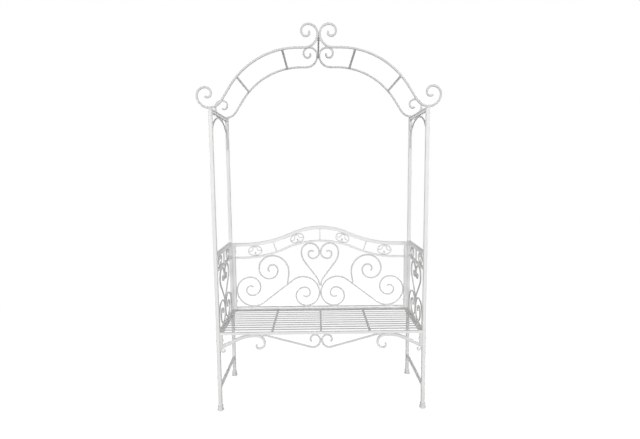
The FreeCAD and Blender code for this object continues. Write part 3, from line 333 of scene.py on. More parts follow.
BETWEEN_POSTS = POST_Y - POST_SIZE / 2
SMALL_RAIL = 0.015
STOUT_RAIL = 0.020
SEAT_TOP = 0.464
ARM_LEVEL = 0.903
BAND_LEVEL = 0.815
STRETCHER_LEVEL = 0.130
flush_x = POST_X - POST_SIZE / 2 + SMALL_RAIL / 2
RAILS = {"top_bar": (SMALL_RAIL, POST_X, POST_TOP - SMALL_RAIL / 2),
         "arm_rail": (STOUT_RAIL, POST_X, ARM_LEVEL), "band_rail": (SMALL_RAIL, POST_X, BAND_LEVEL),
         "seat_support": (SMALL_RAIL, flush_x, SEAT_TOP - SMALL_RAIL / 2),
         "stretcher": (SMALL_RAIL, POST_X, STRETCHER_LEVEL)}
BEAD = 0.0016
BEAD_CORNER = 0.003
BEAD_SIDES = 8
FLUSH_TRIM = 1.5 * BEAD
PUDDLES = ((0.16, 11, 0, 90), (0.09, 17, 2, 70))
weld_coat = coat_material("weld_coat", 0.9, Cloud_Scale=70.0, Peel_Scale=420.0, Unevenness=0.3,
                          Greyness=0.4, Thin_Edges=0.0)


def round_section(radius, sides=16):
    """Outline of a round bar: points evenly spaced on a circle."""
    angle = np.linspace(0, 2 * math.pi, sides, endpoint=False)
    return radius * np.stack([np.cos(angle), np.sin(angle)], axis=-1), np.zeros(sides)


def collar(middle, ahead, width, height, upright=Z_AXIS, radius=BEAD):
    """Weld bead round the end of a square bar.

    It follows the bar's outline on the face that it is welded to. Its thickness swells
    and shrinks with the puddles of the weld: one plus two sines, each a depth times the
    sine of a number of turns, shifted by one of the middle's coordinates times a rate.
    """
    corners, _ = square_section(width + radius, height + radius, BEAD_CORNER, 3)
    onward = (np.roll(corners, -1, axis=0) - corners)[:, None] * np.array([0, 0.25, 0.5, 0.75])[:, None]
    outline = (corners[:, None] + onward).reshape(-1, 2)
    ahead = np.array(ahead, float)
    level = np.cross(upright, ahead)
    places = np.array(middle) + outline[:, :1] * level + outline[:, 1:] * np.cross(ahead, level)
    travel = np.roll(places, -1, axis=0) - np.roll(places, 1, axis=0)
    travel /= np.linalg.norm(travel, axis=1)[:, None]
    turnover = np.linspace(0, 2 * math.pi, len(places), endpoint=False)
    swell = 1 + sum(depth * np.sin(turns * turnover + middle[axis] * rate)
                    for depth, turns, axis, rate in PUDDLES)
    return carry(round_section(radius, BEAD_SIDES), places, travel, ahead, swell, closed=True)


# The seat support's beads stop short of its flush face, and the arm rails, as wide as the
# posts, are ground smooth.
for side_name, side in SIDES.items():
    beads = []
    for rail_name, (width, middle, level) in RAILS.items():
        x = side * middle
        section = square_section(width, width)
        rail = straight((x, -BETWEEN_POSTS, level), (x, BETWEEN_POSTS, level), Z_AXIS, section)
        add_piece(f"side_{rail_name}_{side_name}", [rail], tube_coat, "tube_paint",
                  f"{rail_name}_{side_name}")
        trim = FLUSH_TRIM if rail_name == "seat_support" else 0.0
        if width < POST_SIZE:
            for end in ENDS.values():
                foot = (x + side * trim / 2, end * BETWEEN_POSTS, level)
                beads.append(collar(foot, (0, end, 0), width - trim, width))
    add_piece(f"rail_welds_{side_name}", beads, weld_coat, "tube_paint")

# Small side arches. A round bar is bent into a three-centred arch: its two legs are welded
# to the posts' inner faces and its crown to the top bar.

ARCH_RADIUS = 0.005
ARCH_HAUNCH = 0.110
ARCH_HAUNCH_ANGLE = 60.0
ARCH_LEG = 0.036
ARCH_TACK_RISE = 0.012
BAR_DOME = 0.5
BAR_BLUNT = 0.985
BAR_SPACING = 0.004
DOME_STATIONS = 6
DOME_CLEAR = 1.3
FORGED_SHARE = 0.988
FORGE_WAVES = ((0.007, 61, 0), (0.005, 143, 40))
TACK_STATIONS = 13
TACK_LENGTH = 0.016
TACK_TAPER = 0.96
TACK_RIPPLE = 0.13
TACK_SINK = 0.3
GROOVE_FILL = 0.86
PLANES = {"front": (X_AXIS, Z_AXIS, -Y_AXIS), "side": (Y_AXIS, Z_AXIS, X_AXIS)}
# The bars' greyness is painted shade: the same white coat, darkened as the rounded bars look in shade.
bar_coat = coat_material("bar_coat", 0.5, Cloud_Scale=24.0, Peel_Scale=520.0, Unevenness=0.3,
                         Greyness=0.7, Thin_Edges=0.0)


def bend(start, heading, steps, spacing=BAR_SPACING, dome=0.0):
    """Places and headings along a bar bent in a plane, as complex numbers and angles.

    A step is (radius, degrees), to the left where degrees is positive, or (0, length).
    Within a step the heading grows by distance times curvature, and the place moves by
    the change of the unit heading divided by the curvature and turned a quarter back.
    Places crowd together over the last stretch, a dome, of each end.
    """
    radius, amount = np.array(steps, float).T
    swing = np.where(radius > 0, np.radians(amount), 0.0)
    length = np.where(radius > 0, radius * np.abs(swing), amount)
    curvature = swing / length
    after = np.cumsum(length)
    before = after - length
    first = math.radians(heading) + np.cumsum(swing) - swing
    straight_on = np.abs(curvature) < 1e-9
    divisor = np.where(straight_on, 1.0, 1j * curvature)

    def moved(angle, index, distance):
        return np.where(straight_on[index], distance * np.exp(1j * first[index]),
                        (np.exp(1j * angle) - np.exp(1j * first[index])) / divisor[index])

    every = np.arange(len(length))
    travel = moved(first + swing, every, length)
    origin = complex(*start) + np.cumsum(travel) - travel
    total = after[-1]
    distance = np.linspace(0, total, int(total / spacing) + 2)
    if dome:
        crowd = dome * (1 - np.cos(np.linspace(0, math.pi / 2, DOME_STATIONS)))
        clear = dome * DOME_CLEAR
        inner = distance[(distance > clear) & (distance < total - clear)]
        distance = np.concatenate([crowd, inner, (total - crowd)[::-1]])
    index = np.clip(np.searchsorted(after, distance), 0, len(length) - 1)
    angle = first[index] + curvature[index] * (distance - before[index])
    return origin[index] + moved(angle, index, distance - before[index]), angle, distance


def mirrored(path):
    """The same bar with left and right changed over, still followed from its first end."""
    places, angle, distance = path
    return -places.conj(), math.pi - angle, distance


def stand(path, plane, level):
    """Places and unit headings in the world of a path that stands in an upright plane."""
    along, up, out = PLANES[plane]
    places, angle, _ = path
    world = places.real[:, None] * along + places.imag[:, None] * up + level * np.abs(out)
    return world, np.cos(angle)[:, None] * along + np.sin(angle)[:, None] * up


def round_bar(path, plane, level, radius, sides=16):
    """A round bar along a bent path, with domed ends and the faint unevenness of forging.

    The radius is a share plus two small sines of the distance, which never pass the full
    radius between them. Near an end it also follows a quarter circle.
    """
    places, ahead = stand(path, plane, level)
    distance = path[2]
    forged = FORGED_SHARE + sum(depth * np.sin(distance * rate + level * shift)
                                for depth, rate, shift in FORGE_WAVES)
    from_end = np.minimum(distance, distance[-1] - distance) / (radius * BAR_DOME)
    domed = np.sqrt(1 - np.clip(1 - from_end, 0, BAR_BLUNT) ** 2)
    return carry(round_section(radius, sides), places, ahead, PLANES[plane][2], forged * domed)


def tack(place, along, towards, across, reach, radius=BEAD, length=TACK_LENGTH):
    """Two short weld beads where a round bar touches its neighbour, one on each face of the panel.

    Each is a round bead of falling thickness, an ellipse along the contact with the
    ripples of its puddles, seated in the groove a reach to either side of the contact.
    """
    stations = np.sin(np.linspace(-math.pi / 2, math.pi / 2, TACK_STATIONS))
    ripples = 1 + TACK_RIPPLE * np.cos(stations * TACK_STATIONS)
    swell = np.sqrt(1 - TACK_TAPER * stations ** 2) * ripples
    along, towards, across = (np.array(v, float) for v in (along, towards, across))
    ahead = np.tile(along, (TACK_STATIONS, 1))
    beads = []
    for face in (-1, 1):
        middle = np.array(place, float) + across * face * reach - towards * radius * TACK_SINK
        places = middle + stations[:, None] * along * length / 2
        beads.append(carry(round_section(radius, BEAD_SIDES), places, ahead, across, swell))
    return beads


def tack_flat(place, plane, level, angle, towards, bar_radius, length=TACK_LENGTH):
    """Beads where a round bar lies against a flat face or another bar, at a place in its plane.

    A bead touches both in the groove at twice the root of the two radii multiplied, and
    sits a little further in than that.
    """
    along, up, out = PLANES[plane]
    spot = place.real * along + place.imag * up + level * np.abs(out)
    ahead = math.cos(angle) * along + math.sin(angle) * up
    face = towards.real * along + towards.imag * up
    groove = 2 * math.sqrt(bar_radius * BEAD) * GROOVE_FILL
    return tack(spot, ahead, face, out, groove, length=length)


haunch_turn = math.radians(ARCH_HAUNCH_ANGLE)
arch_foot = BETWEEN_POSTS - ARCH_RADIUS
crown = (arch_foot - ARCH_HAUNCH * (1 - math.cos(haunch_turn))) / math.cos(haunch_turn)
arch_top = POST_TOP - SMALL_RAIL - ARCH_RADIUS
haunch_drop = ARCH_HAUNCH * math.sin(haunch_turn)
arch_start = arch_top - crown * (1 - math.sin(haunch_turn)) - haunch_drop - ARCH_LEG
arch_steps = [(0, ARCH_LEG), (ARCH_HAUNCH, -ARCH_HAUNCH_ANGLE), (crown, 2 * ARCH_HAUNCH_ANGLE - 180),
              (ARCH_HAUNCH, -ARCH_HAUNCH_ANGLE), (0, ARCH_LEG)]
arch_path = bend((-arch_foot, arch_start), 90, arch_steps, dome=ARCH_RADIUS * BAR_DOME)
for side_name, side in SIDES.items():
    x = side * POST_X
    arch = round_bar(arch_path, "side", x, ARCH_RADIUS)
    add_piece(f"bent_arch_{side_name}", [arch], bar_coat, "bar_paint", f"side_arch_{side_name}")
    beads = tack_flat(complex(0, arch_top + ARCH_RADIUS), "side", x, 0.0, 1j, ARCH_RADIUS)
    for end in ENDS.values():
        for level in (arch_start + ARCH_TACK_RISE, arch_start + ARCH_LEG):
            spot = complex(end * BETWEEN_POSTS, level)
            beads += tack_flat(spot, "side", x, math.pi / 2, complex(end, 0), ARCH_RADIUS)
    add_piece(f"arch_welds_{side_name}", beads, weld_coat, "bar_paint")

# Side scrollwork. Under each arm a heart of two bent bars hangs from the band rail, and
# two scrolls stand back to back on the seat support. The bars are welded where they touch.

PANEL_RADIUS = 0.005
SCROLL_LEG = 0.055
SCROLL_SHOULDER = 0.090
SCROLL_BREAST = 0.080
SCROLL_CURLS = [0.056, 0.038, 0.024, 0.014]
HEART_OUTER = 0.058
HEART_INNER = 0.058
HEART_CURLS = [0.026, 0.020, 0.013]
HEART_STRAIGHT = 0.1173
HEART_TAIL = 0.070
EYE_TURN = 60.0
TACK_RISE = 0.006


def s_bend(first, second, along, across):
    """Turn, straight run and counter turn that end on the first heading, a given way along and across.

    The square of the run is the sum of the squares of the two ways less twice both radii
    times the way across. The turn is the lean of the line between the two centres plus
    the angle whose tangent is both radii over the run.
    """
    both = first + second
    level_run = math.sqrt(along ** 2 + across ** 2 - 2 * both * across)
    angle = math.degrees(math.atan2(across - both, along) + math.atan2(both, level_run))
    return [(first, angle), (0, level_run), (second, -angle)]


def other_radius(radius, level_run, along, across):
    """The second radius of an s-bend with a given straight run: half the sum of the squares of
    its two ways less the square of the run, over the way across, less the first radius."""
    return (along ** 2 + across ** 2 - level_run ** 2) / (2 * across) - radius


def curl(radii, side, eye_turn=EYE_TURN):
    """Quarter turns of shrinking radius, the last one only part of a turn."""
    return [(radius, side * 90) for radius in radii[:-1]] + [(radii[-1], side * eye_turn)]


def two_ways(start, heading, first, second, dome):
    """A bar bent outwards from a point of it, one way along the heading and the other way back.

    The first steps are followed back to the point and the second from it, so the signs
    of the first turns are kept as seen when leaving the point.
    """
    back = [(radius, amount if radius == 0 else -amount) for radius, amount in reversed(first)]
    end, angle, _ = bend(start, heading, first, 1.0)
    begin = (end[-1].real, end[-1].imag)
    return bend(begin, math.degrees(angle[-1]) + 180, back + second, dome=dome)


panel_dome = PANEL_RADIUS * BAR_DOME
leg_y = -(PANEL_RADIUS + SCROLL_BREAST + SCROLL_SHOULDER)
breast_level = SEAT_TOP + SCROLL_LEG + SCROLL_SHOULDER - SCROLL_BREAST
belly = breast_level - SEAT_TOP - PANEL_RADIUS
side_scroll = bend((leg_y, SEAT_TOP), 90,
                   [(0, SCROLL_LEG), (SCROLL_SHOULDER, -90), (SCROLL_BREAST, -90), (belly, -90)]
                   + curl(SCROLL_CURLS, -1), dome=panel_dome)
band_underside = BAND_LEVEL - SMALL_RAIL / 2
side_lobe = HEART_OUTER + HEART_INNER
side_extreme = (-(PANEL_RADIUS + side_lobe), band_underside - PANEL_RADIUS - HEART_OUTER)
valley = math.sqrt((SCROLL_BREAST + PANEL_RADIUS) ** 2 - (SCROLL_BREAST - PANEL_RADIUS) ** 2)
tail_level = breast_level + valley
fall = side_extreme[1] - tail_level
flank = other_radius(HEART_TAIL, HEART_STRAIGHT, fall, side_lobe)
side_heart = two_ways(side_extreme, 90,
                      [(HEART_OUTER, -90), (HEART_INNER, -90)] + curl(HEART_CURLS, -1),
                      s_bend(flank, HEART_TAIL, fall, side_lobe), panel_dome)
for side_name, side in SIDES.items():
    x = side * POST_X
    hearts = [round_bar(path, "side", x, PANEL_RADIUS) for path in (side_heart, mirrored(side_heart))]
    add_piece(f"arm_heart_{side_name}", hearts, bar_coat, "bar_paint", f"side_heart_{side_name}")
    scrolls = [round_bar(path, "side", x, PANEL_RADIUS) for path in (side_scroll, mirrored(side_scroll))]
    add_piece(f"arm_scrolls_{side_name}", scrolls, bar_coat, "bar_paint", f"side_scrolls_{side_name}")
    beads = []
    for level in (tail_level + TACK_RISE, breast_level, side_extreme[1]):
        beads += tack_flat(complex(0, level), "side", x, math.pi / 2, 0j, PANEL_RADIUS)
    for end in ENDS.values():
        top = complex(end * (PANEL_RADIUS + HEART_INNER), band_underside)
        beads += tack_flat(top, "side", x, 0.0, 1j, PANEL_RADIUS)
        foot = complex(end * (PANEL_RADIUS + belly), SEAT_TOP)
        beads += tack_flat(foot, "side", x, 0.0, -1j, PANEL_RADIUS)
        leg = (x, end * leg_y, SEAT_TOP)
        beads.append(collar(leg, Z_AXIS, 2 * PANEL_RADIUS, 2 * PANEL_RADIUS, Y_AXIS))
    add_piece(f"arm_panel_welds_{side_name}", beads, weld_coat, "bar_paint")

# Arm bands. Between the two rails of each arm a short square bar stands in the middle,
# with a rosette to either side: an oval ring with a trefoil of thinner bar inside.

DIVIDER = 0.008
RING_RADIUS = 0.003
WIRE_RADIUS = 0.0025
ROSETTE_WIDTH = 0.094
ROSETTE_END = 0.024
ROSETTE_PLAY = 0.0005
LOOP = 0.014
FLARE = 0.013
TREFOIL_FOOT = 0.008
STEM = 0.010
ARM_ROSETTE_Y = 0.106
TRIM_SIDES = 12
RING_SPACING = 0.003
WIRE_SPACING = 0.0025
STEM_SPACING = 0.002
RING_TACK = 0.012
DIVIDER_CORNER = 0.0008
DIVIDER_BEAD = 0.0012
# The rosettes' greyness is painted shade, like the bars'.
trim_coat = coat_material("trim_coat", 0.5, Cloud_Scale=45.0, Peel_Scale=600.0, Unevenness=0.3,
                          Greyness=0.7, Thin_Edges=0.0)


def rosette(centre, tilt, clear_height, plane, level):
    """Ring and trefoil that fill a clear height, turned about the ring's middle.

    The ring is four arcs: two small ends and two flat sides whose radius makes them
    tangent. The trefoil is a bar that loops once between two flares, and two stems that
    splay at the foot.
    """
    half_height = (clear_height - ROSETTE_PLAY) / 2 - RING_RADIUS
    half_width = ROSETTE_WIDTH / 2 - RING_RADIUS
    reach = half_width - ROSETTE_END
    flat = (reach ** 2 + half_height ** 2 - ROSETTE_END ** 2) / (2 * (half_height - ROSETTE_END))
    sweep = math.degrees(math.atan2(flat - half_height, reach))
    side_arc = (flat, 180 - 2 * sweep)
    ring = bend((half_width, 0), 90, [(ROSETTE_END, sweep), side_arc, (ROSETTE_END, 2 * sweep),
                                      side_arc, (ROSETTE_END, sweep)], RING_SPACING)
    touch = RING_RADIUS + WIRE_RADIUS
    loop_level = half_height - touch - LOOP
    arm_level = loop_level - FLARE
    end_radius = ROSETTE_END - RING_RADIUS
    end_sag = end_radius - math.sqrt(end_radius ** 2 - (abs(arm_level) + WIRE_RADIUS) ** 2)
    arm = half_width - RING_RADIUS - end_sag - LOOP - FLARE
    wire_dome = WIRE_RADIUS * BAR_DOME
    omega = bend((-LOOP - FLARE - arm, arm_level), 0,
                 [(0, arm), (FLARE, 90), (LOOP, -180), (FLARE, 90), (0, arm)],
                 WIRE_SPACING, wire_dome)
    ring_sag = flat - math.sqrt(flat ** 2 - (WIRE_RADIUS + TREFOIL_FOOT) ** 2)
    foot_level = -(half_height - touch - ring_sag)
    stem = bend((-WIRE_RADIUS, foot_level + TREFOIL_FOOT + STEM), -90,
                [(0, STEM), (TREFOIL_FOOT, -90)], STEM_SPACING, wire_dome)
    lean = math.radians(tilt)
    heading = np.exp(1j * lean)

    def leaning(path):
        return complex(*centre) + path[0] * heading, path[1] + lean, path[2]

    places, ahead = stand([values[:-1] for values in leaning(ring)], plane, level)
    parts = [carry(round_section(RING_RADIUS, TRIM_SIDES), places, ahead, PLANES[plane][2],
                   closed=True)]
    parts += [round_bar(leaning(path), plane, level, WIRE_RADIUS, TRIM_SIDES)
              for path in (omega, stem, mirrored(stem))]
    beads = []
    for side in (-1, 1):
        towards = side * 1j * heading
        spot = complex(*centre) + (half_height + RING_RADIUS) * towards
        beads += tack_flat(spot, plane, level, lean, towards, RING_RADIUS, RING_TACK)
    return parts, beads


band_floor = BAND_LEVEL + SMALL_RAIL / 2
band_ceiling = ARM_LEVEL - STOUT_RAIL / 2
band_middle = (band_floor + band_ceiling) / 2
divider_section = square_section(DIVIDER, DIVIDER, DIVIDER_CORNER, 2)
for side_name, side in SIDES.items():
    x = side * POST_X
    parts = [straight((x, 0, band_floor), (x, 0, band_ceiling), Y_AXIS, divider_section)]
    beads = [collar((x, 0, band_floor), Z_AXIS, DIVIDER, DIVIDER, Y_AXIS, DIVIDER_BEAD),
             collar((x, 0, band_ceiling), -Z_AXIS, DIVIDER, DIVIDER, Y_AXIS, DIVIDER_BEAD)]
    for end in ENDS.values():
        centre = (end * ARM_ROSETTE_Y, band_middle)
        bars, tacks = rosette(centre, 0, band_ceiling - band_floor, "side", x)
        parts += bars
        beads += tacks
    add_piece(f"arm_band_{side_name}", parts, trim_coat, "trim_paint", f"band_ornament_{side_name}")
    add_piece(f"arm_band_welds_{side_name}", beads, weld_coat, "trim_paint")

# Seat frame. Four rectangular tubes form a frame that is bolted between the side frames. Its
# two end tubes and three solid bearers lie a slat's thickness lower, to carry the slats.

SEAT_RAIL_WIDTH = 0.012
SEAT_DEPTH = 0.015
SEAT_SIDE_WIDTH = 0.015
BEARER_WIDTH = 0.010
BEARER_SPACING = 0.280
SLAT_THICKNESS = 0.002
SEAT_CORNER = 0.0018
BEARER_CORNER = 0.001
SEAT_BEAD = 0.0011
# The flat stock's greyness is painted shade that darkens the slat tops, ties and plates.
flat_coat = coat_material("flat_coat", 0.3, Cloud_Scale=16.0, Peel_Scale=650.0, Unevenness=0.25,
                          Greyness=0.4, Thin_Edges=0.75, Dust=0.3)

inner_x = POST_X - POST_SIZE / 2
rail_front = -POST_Y - POST_SIZE / 2 + SEAT_RAIL_WIDTH / 2
rail_rear = BETWEEN_POSTS - SEAT_RAIL_WIDTH / 2
seat_middle = SEAT_TOP - SEAT_DEPTH / 2
seat_rail_section = square_section(SEAT_RAIL_WIDTH, SEAT_DEPTH, SEAT_CORNER)
bearer_depth = SEAT_DEPTH - SLAT_THICKNESS
bearer_level = SEAT_TOP - SLAT_THICKNESS - bearer_depth / 2
for end_name, y in (("front", rail_front), ("rear", rail_rear)):
    rail = straight((-inner_x, y, seat_middle), (inner_x, y, seat_middle), Z_AXIS, seat_rail_section)
    add_piece(f"seat_edge_{end_name}", [rail], tube_coat, "tube_paint", f"seat_rail_{end_name}")
span_front = rail_front + SEAT_RAIL_WIDTH / 2
span_rear = rail_rear - SEAT_RAIL_WIDTH / 2


def cross_bar(x, width, corner):
    """A bar from the front rail to the rear one, and the weld beads round its two ends."""
    section = square_section(width, bearer_depth, corner)
    bar = straight((x, span_front, bearer_level), (x, span_rear, bearer_level), Z_AXIS, section)
    return bar, [collar((x, y, bearer_level), (0, face, 0), width, bearer_depth, radius=SEAT_BEAD)
                 for y, face in ((span_front, -1), (span_rear, 1))]


frame_beads, bearers = [], []
for side_name, side in SIDES.items():
    rail, beads = cross_bar(side * (inner_x - SEAT_SIDE_WIDTH / 2), SEAT_SIDE_WIDTH, SEAT_CORNER)
    add_piece(f"seat_end_{side_name}", [rail], tube_coat, "tube_paint", f"seat_side_{side_name}")
    frame_beads += beads
for step in (-1, 0, 1):
    bearer, beads = cross_bar(step * BEARER_SPACING, BEARER_WIDTH, BEARER_CORNER)
    bearers.append(bearer)
    frame_beads += beads
add_piece("cross_bearers", bearers, flat_coat, "flat_paint", "seat_bearers")
add_piece("seat_frame_welds", frame_beads, weld_coat, "tube_paint")

# Seat slats. Ten flat steel bars with rolled edges lie on the bearers and the frame's end
# tubes, level with the tops of its front and rear tubes, and are tacked on from below.

SLAT_WIDTH = 0.016
SLAT_COUNT = 10
SLAT_END_PLAY = 0.003
SLAT_CORNER = 0.0011
SLAT_TACK = 0.011
SLAT_TACK_DROP = 0.0008
SLAT_TACK_GAP = 0.0004
slat_section = square_section(SLAT_WIDTH, SLAT_THICKNESS, SLAT_CORNER, 3)
slat_end = inner_x - SLAT_END_PLAY
crossings = [(side * (inner_x - SEAT_SIDE_WIDTH / 2), SEAT_SIDE_WIDTH) for side in SIDES.values()]
crossings += [(step * BEARER_SPACING, BEARER_WIDTH) for step in (-1, 0, 1)]
slat_level = SEAT_TOP - SLAT_THICKNESS / 2
slat_pitch = (rail_rear - rail_front) / (SLAT_COUNT + 1)
slats, slat_beads = [], []
for number in range(1, SLAT_COUNT + 1):
    y = rail_front + number * slat_pitch
    slats.append(straight((-slat_end, y, slat_level), (slat_end, y, slat_level), Z_AXIS, slat_section))
    for x, width in crossings:
        spot = (x, y, SEAT_TOP - SLAT_THICKNESS - SLAT_TACK_DROP)
        slat_beads += tack(spot, Y_AXIS, Z_AXIS, X_AXIS, width / 2 + SLAT_TACK_GAP, SEAT_BEAD, SLAT_TACK)
add_piece("flat_slats", slats, flat_coat, "flat_paint", "seat_slats")
add_piece("slat_welds", slat_beads, weld_coat, "flat_paint")

# Apron. Two long scrolls of round bar meet in the middle under the front rail. In each
# corner a flat band, tapering to its curl, springs from a short tab that hangs at the post
# and ends in a small hook.

APRON_RADIUS = 0.005
APRON_DROP = 0.073
APRON_BOTTOM = 0.042
APRON_CURLS = [0.025, 0.016]
APRON_BEND = 0.120
TAB_WIDTH = 0.015
TAB_LENGTH = 0.079
HOOK_RADIUS = 0.004
HOOK_DROP = 0.012
HOOK_CURLS = [0.011, 0.008, 0.006]
HOOK_EYE_TURN = 30.0
CORNER_DEPTH = 0.010
CORNER_ROOT = 0.022
CORNER_TIP = 0.008
CORNER_SLOPE = 25.0
CORNER_CREST = 0.200
CORNER_CREST_X = 0.387
CORNER_FLAT = 0.022
CORNER_CURLS = [0.044, 0.032, 0.016, 0.011]
ROOT_INSET = 0.006
BAND_SPACING = 0.003
BAND_TIP = 0.002
BAND_BLUNT = 0.9
HOOK_SPACING = 0.002
HOOK_ROOT = 0.001
FLAT_CORNER = 0.0016
SHOULDER_TACK = 0.004

apron_top = SEAT_TOP - SEAT_DEPTH
crest_half = (CORNER_ROOT + CORNER_TIP) / 4
curl_x = -CORNER_CREST_X + CORNER_FLAT
bottom = (-(APRON_RADIUS + APRON_BOTTOM), apron_top - APRON_RADIUS - APRON_DROP)
inner_rise = apron_top - APRON_RADIUS - bottom[1] - APRON_BOTTOM
shoulder_level = apron_top - crest_half - CORNER_CURLS[0]
shoulder_drop = apron_top - 2 * APRON_RADIUS - shoulder_level
shoulder_x = curl_x + math.sqrt((CORNER_CURLS[0] + crest_half) ** 2 - shoulder_drop ** 2)
falling = [(radius, amount if radius == 0 else -amount)
           for radius, amount in s_bend(APRON_BEND, APRON_BOTTOM, bottom[0] - shoulder_x, APRON_DROP)]
apron_path = bend((shoulder_x, apron_top - APRON_RADIUS), 0,
                  falling + [(APRON_BOTTOM, 90), (inner_rise, 90)] + curl(APRON_CURLS, 1),
                  dome=APRON_RADIUS * BAR_DOME)
tab_face = -(inner_x - TAB_WIDTH)
slope = math.radians(CORNER_SLOPE)
crest = (-CORNER_CREST_X, apron_top - crest_half)
shoulder = (crest[0] - CORNER_CREST * math.sin(slope), crest[1] - CORNER_CREST * (1 - math.cos(slope)))
root_length = (shoulder[0] - tab_face) / math.cos(slope) + ROOT_INSET
root = (shoulder[0] - root_length * math.cos(slope), shoulder[1] - root_length * math.sin(slope))
corner_path = bend(root, CORNER_SLOPE,
                   [(0, root_length), (CORNER_CREST, -CORNER_SLOPE), (0, CORNER_FLAT)]
                   + curl(CORNER_CURLS, -1), BAND_SPACING, BAND_TIP)
hook_path = bend((tab_face - TAB_WIDTH / 2, apron_top - TAB_LENGTH + HOOK_ROOT), -90,
                 [(0, HOOK_DROP)] + curl(HOOK_CURLS + [HOOK_CURLS[-1]], 1, HOOK_EYE_TURN),
                 HOOK_SPACING, HOOK_RADIUS * BAR_DOME)


def tapered_band(path, level):
    """A flat band whose width falls evenly from root to tip, its tip drawn in like a domed end."""
    places, ahead = stand(path, "front", level)
    distance = path[2]
    share = np.clip((distance - ROOT_INSET) / (distance[-1] - ROOT_INSET), 0, 1)
    width = CORNER_ROOT + (CORNER_TIP - CORNER_ROOT) * share
    section = square_section(width, CORNER_DEPTH, FLAT_CORNER, 3)
    drawn_in = np.sqrt(1 - np.clip(1 - (distance[-1] - distance) / BAND_TIP, 0, BAND_BLUNT) ** 2)
    return carry(section, places, ahead, PLANES["front"][2], drawn_in)


tab_section = square_section(TAB_WIDTH, SEAT_RAIL_WIDTH, FLAT_CORNER)
root_level = shoulder[1] - (shoulder[0] - tab_face) * math.tan(slope)
for side_name, side in SIDES.items():
    turn_over = mirrored if side > 0 else tuple
    scroll = round_bar(turn_over(apron_path), "front", rail_front, APRON_RADIUS)
    add_piece(f"long_scroll_{side_name}", [scroll], bar_coat, "bar_paint", f"apron_scroll_{side_name}")
    band = tapered_band(turn_over(corner_path), rail_front)
    add_piece(f"tapered_scroll_{side_name}", [band], flat_coat, "flat_paint",
              f"corner_scroll_{side_name}")
    x = side * (inner_x - TAB_WIDTH / 2)
    tab = straight((x, rail_front, apron_top - TAB_LENGTH), (x, rail_front, apron_top), Y_AXIS, tab_section)
    hook = round_bar(turn_over(hook_path), "front", rail_front, HOOK_RADIUS, 12)
    add_piece(f"corner_tab_{side_name}", [tab, hook], flat_coat, "flat_paint", f"tab_{side_name}")
    beads = [collar((x, rail_front, apron_top), -Z_AXIS, TAB_WIDTH, SEAT_RAIL_WIDTH, Y_AXIS, SEAT_BEAD),
             collar((x, rail_front, apron_top - TAB_LENGTH), Z_AXIS, 2 * HOOK_RADIUS, 2 * HOOK_RADIUS,
                    Y_AXIS, SEAT_BEAD),
             collar((side * -tab_face, rail_front, root_level), (side, 0, 0), CORNER_DEPTH,
                    CORNER_ROOT / math.cos(slope), radius=SEAT_BEAD)]
    for away, groove in ((-shoulder_x - SHOULDER_TACK, APRON_RADIUS), (CORNER_CREST_X, CORNER_DEPTH / 4),
                         (APRON_RADIUS + inner_rise, APRON_RADIUS)):
        beads += tack_flat(complex(side * away, apron_top), "front", rail_front, 0.0, 1j, groove)
    add_piece(f"apron_welds_{side_name}", beads, weld_coat, "bar_paint")
meeting = complex(0, bottom[1] + APRON_BOTTOM)
middle_tack = tack_flat(meeting, "front", rail_front, math.pi / 2, 1 + 0j, APRON_RADIUS)
add_piece("apron_middle_welds", middle_tack, weld_coat, "bar_paint")

# Back panel frame. Two stiles are bolted to the rear posts, with a square sill between
# them and two wavy rails above, bent from square tube and level at their ends. The lower
# wavy rail meets the stiles' sides and the upper one lies on their tops.

BACK_TUBE = 0.020
SILL_LEVEL = 0.465
LEVEL_RUN = 0.055
TOP_WAVE = (0.894, 0.109, 0.440)
SECOND_WAVE = (0.807, 0.108, 0.560)
SECOND_TUBE = 0.012
SECOND_CORNER = 0.0015
WAVE_SPACING = 0.008
STILE_BEAD = 0.0009

back_half = BACK_TUBE / 2
stile_inner = inner_x - BACK_TUBE
sill_top = SILL_LEVEL + back_half
half_wave = stile_inner - LEVEL_RUN
back_section = square_section(BACK_TUBE, BACK_TUBE)
second_section = square_section(SECOND_TUBE, SECOND_TUBE, SECOND_CORNER)


def hollow_of(wave):
    """Radius and turn of the hollow parts of a wavy rail, from its rise and its crest's radius.

    The radius is the squares of the half length and of the rise over twice the rise, less
    the crest's radius. The turn is twice the angle whose tangent is the rise over the
    half length.
    """
    _, rise, crest = wave
    return (half_wave ** 2 + rise ** 2) / (2 * rise) - crest, math.degrees(2 * math.atan(rise / half_wave))


def wavy_rail(wave, reach, section):
    """A square tube level at both ends, with a hollow, a crest and a hollow between."""
    level, _, crest = wave
    hollow, angle = hollow_of(wave)
    level_run = reach - half_wave
    path = bend((-reach, level), 0, [(0, level_run), (hollow, angle), (crest, -2 * angle),
                                     (hollow, angle), (0, level_run)], WAVE_SPACING)
    places, ahead = stand(path, "front", POST_Y)
    return carry(section, places, ahead, PLANES["front"][2])


def rail_surface(wave, x, offset):
    """Height of a wavy rail at x, moved off its middle by an offset square to the rail."""
    level, rise, crest = wave
    hollow, angle = hollow_of(wave)
    on_crest = np.abs(x) < crest * math.sin(math.radians(angle))
    crest_height = level + rise - crest + np.sqrt((crest + offset) ** 2 - np.where(on_crest, x, 0.0) ** 2)
    past = half_wave - np.abs(x)
    return np.where(on_crest, crest_height, level + hollow - np.sqrt((hollow - offset) ** 2 - past ** 2))


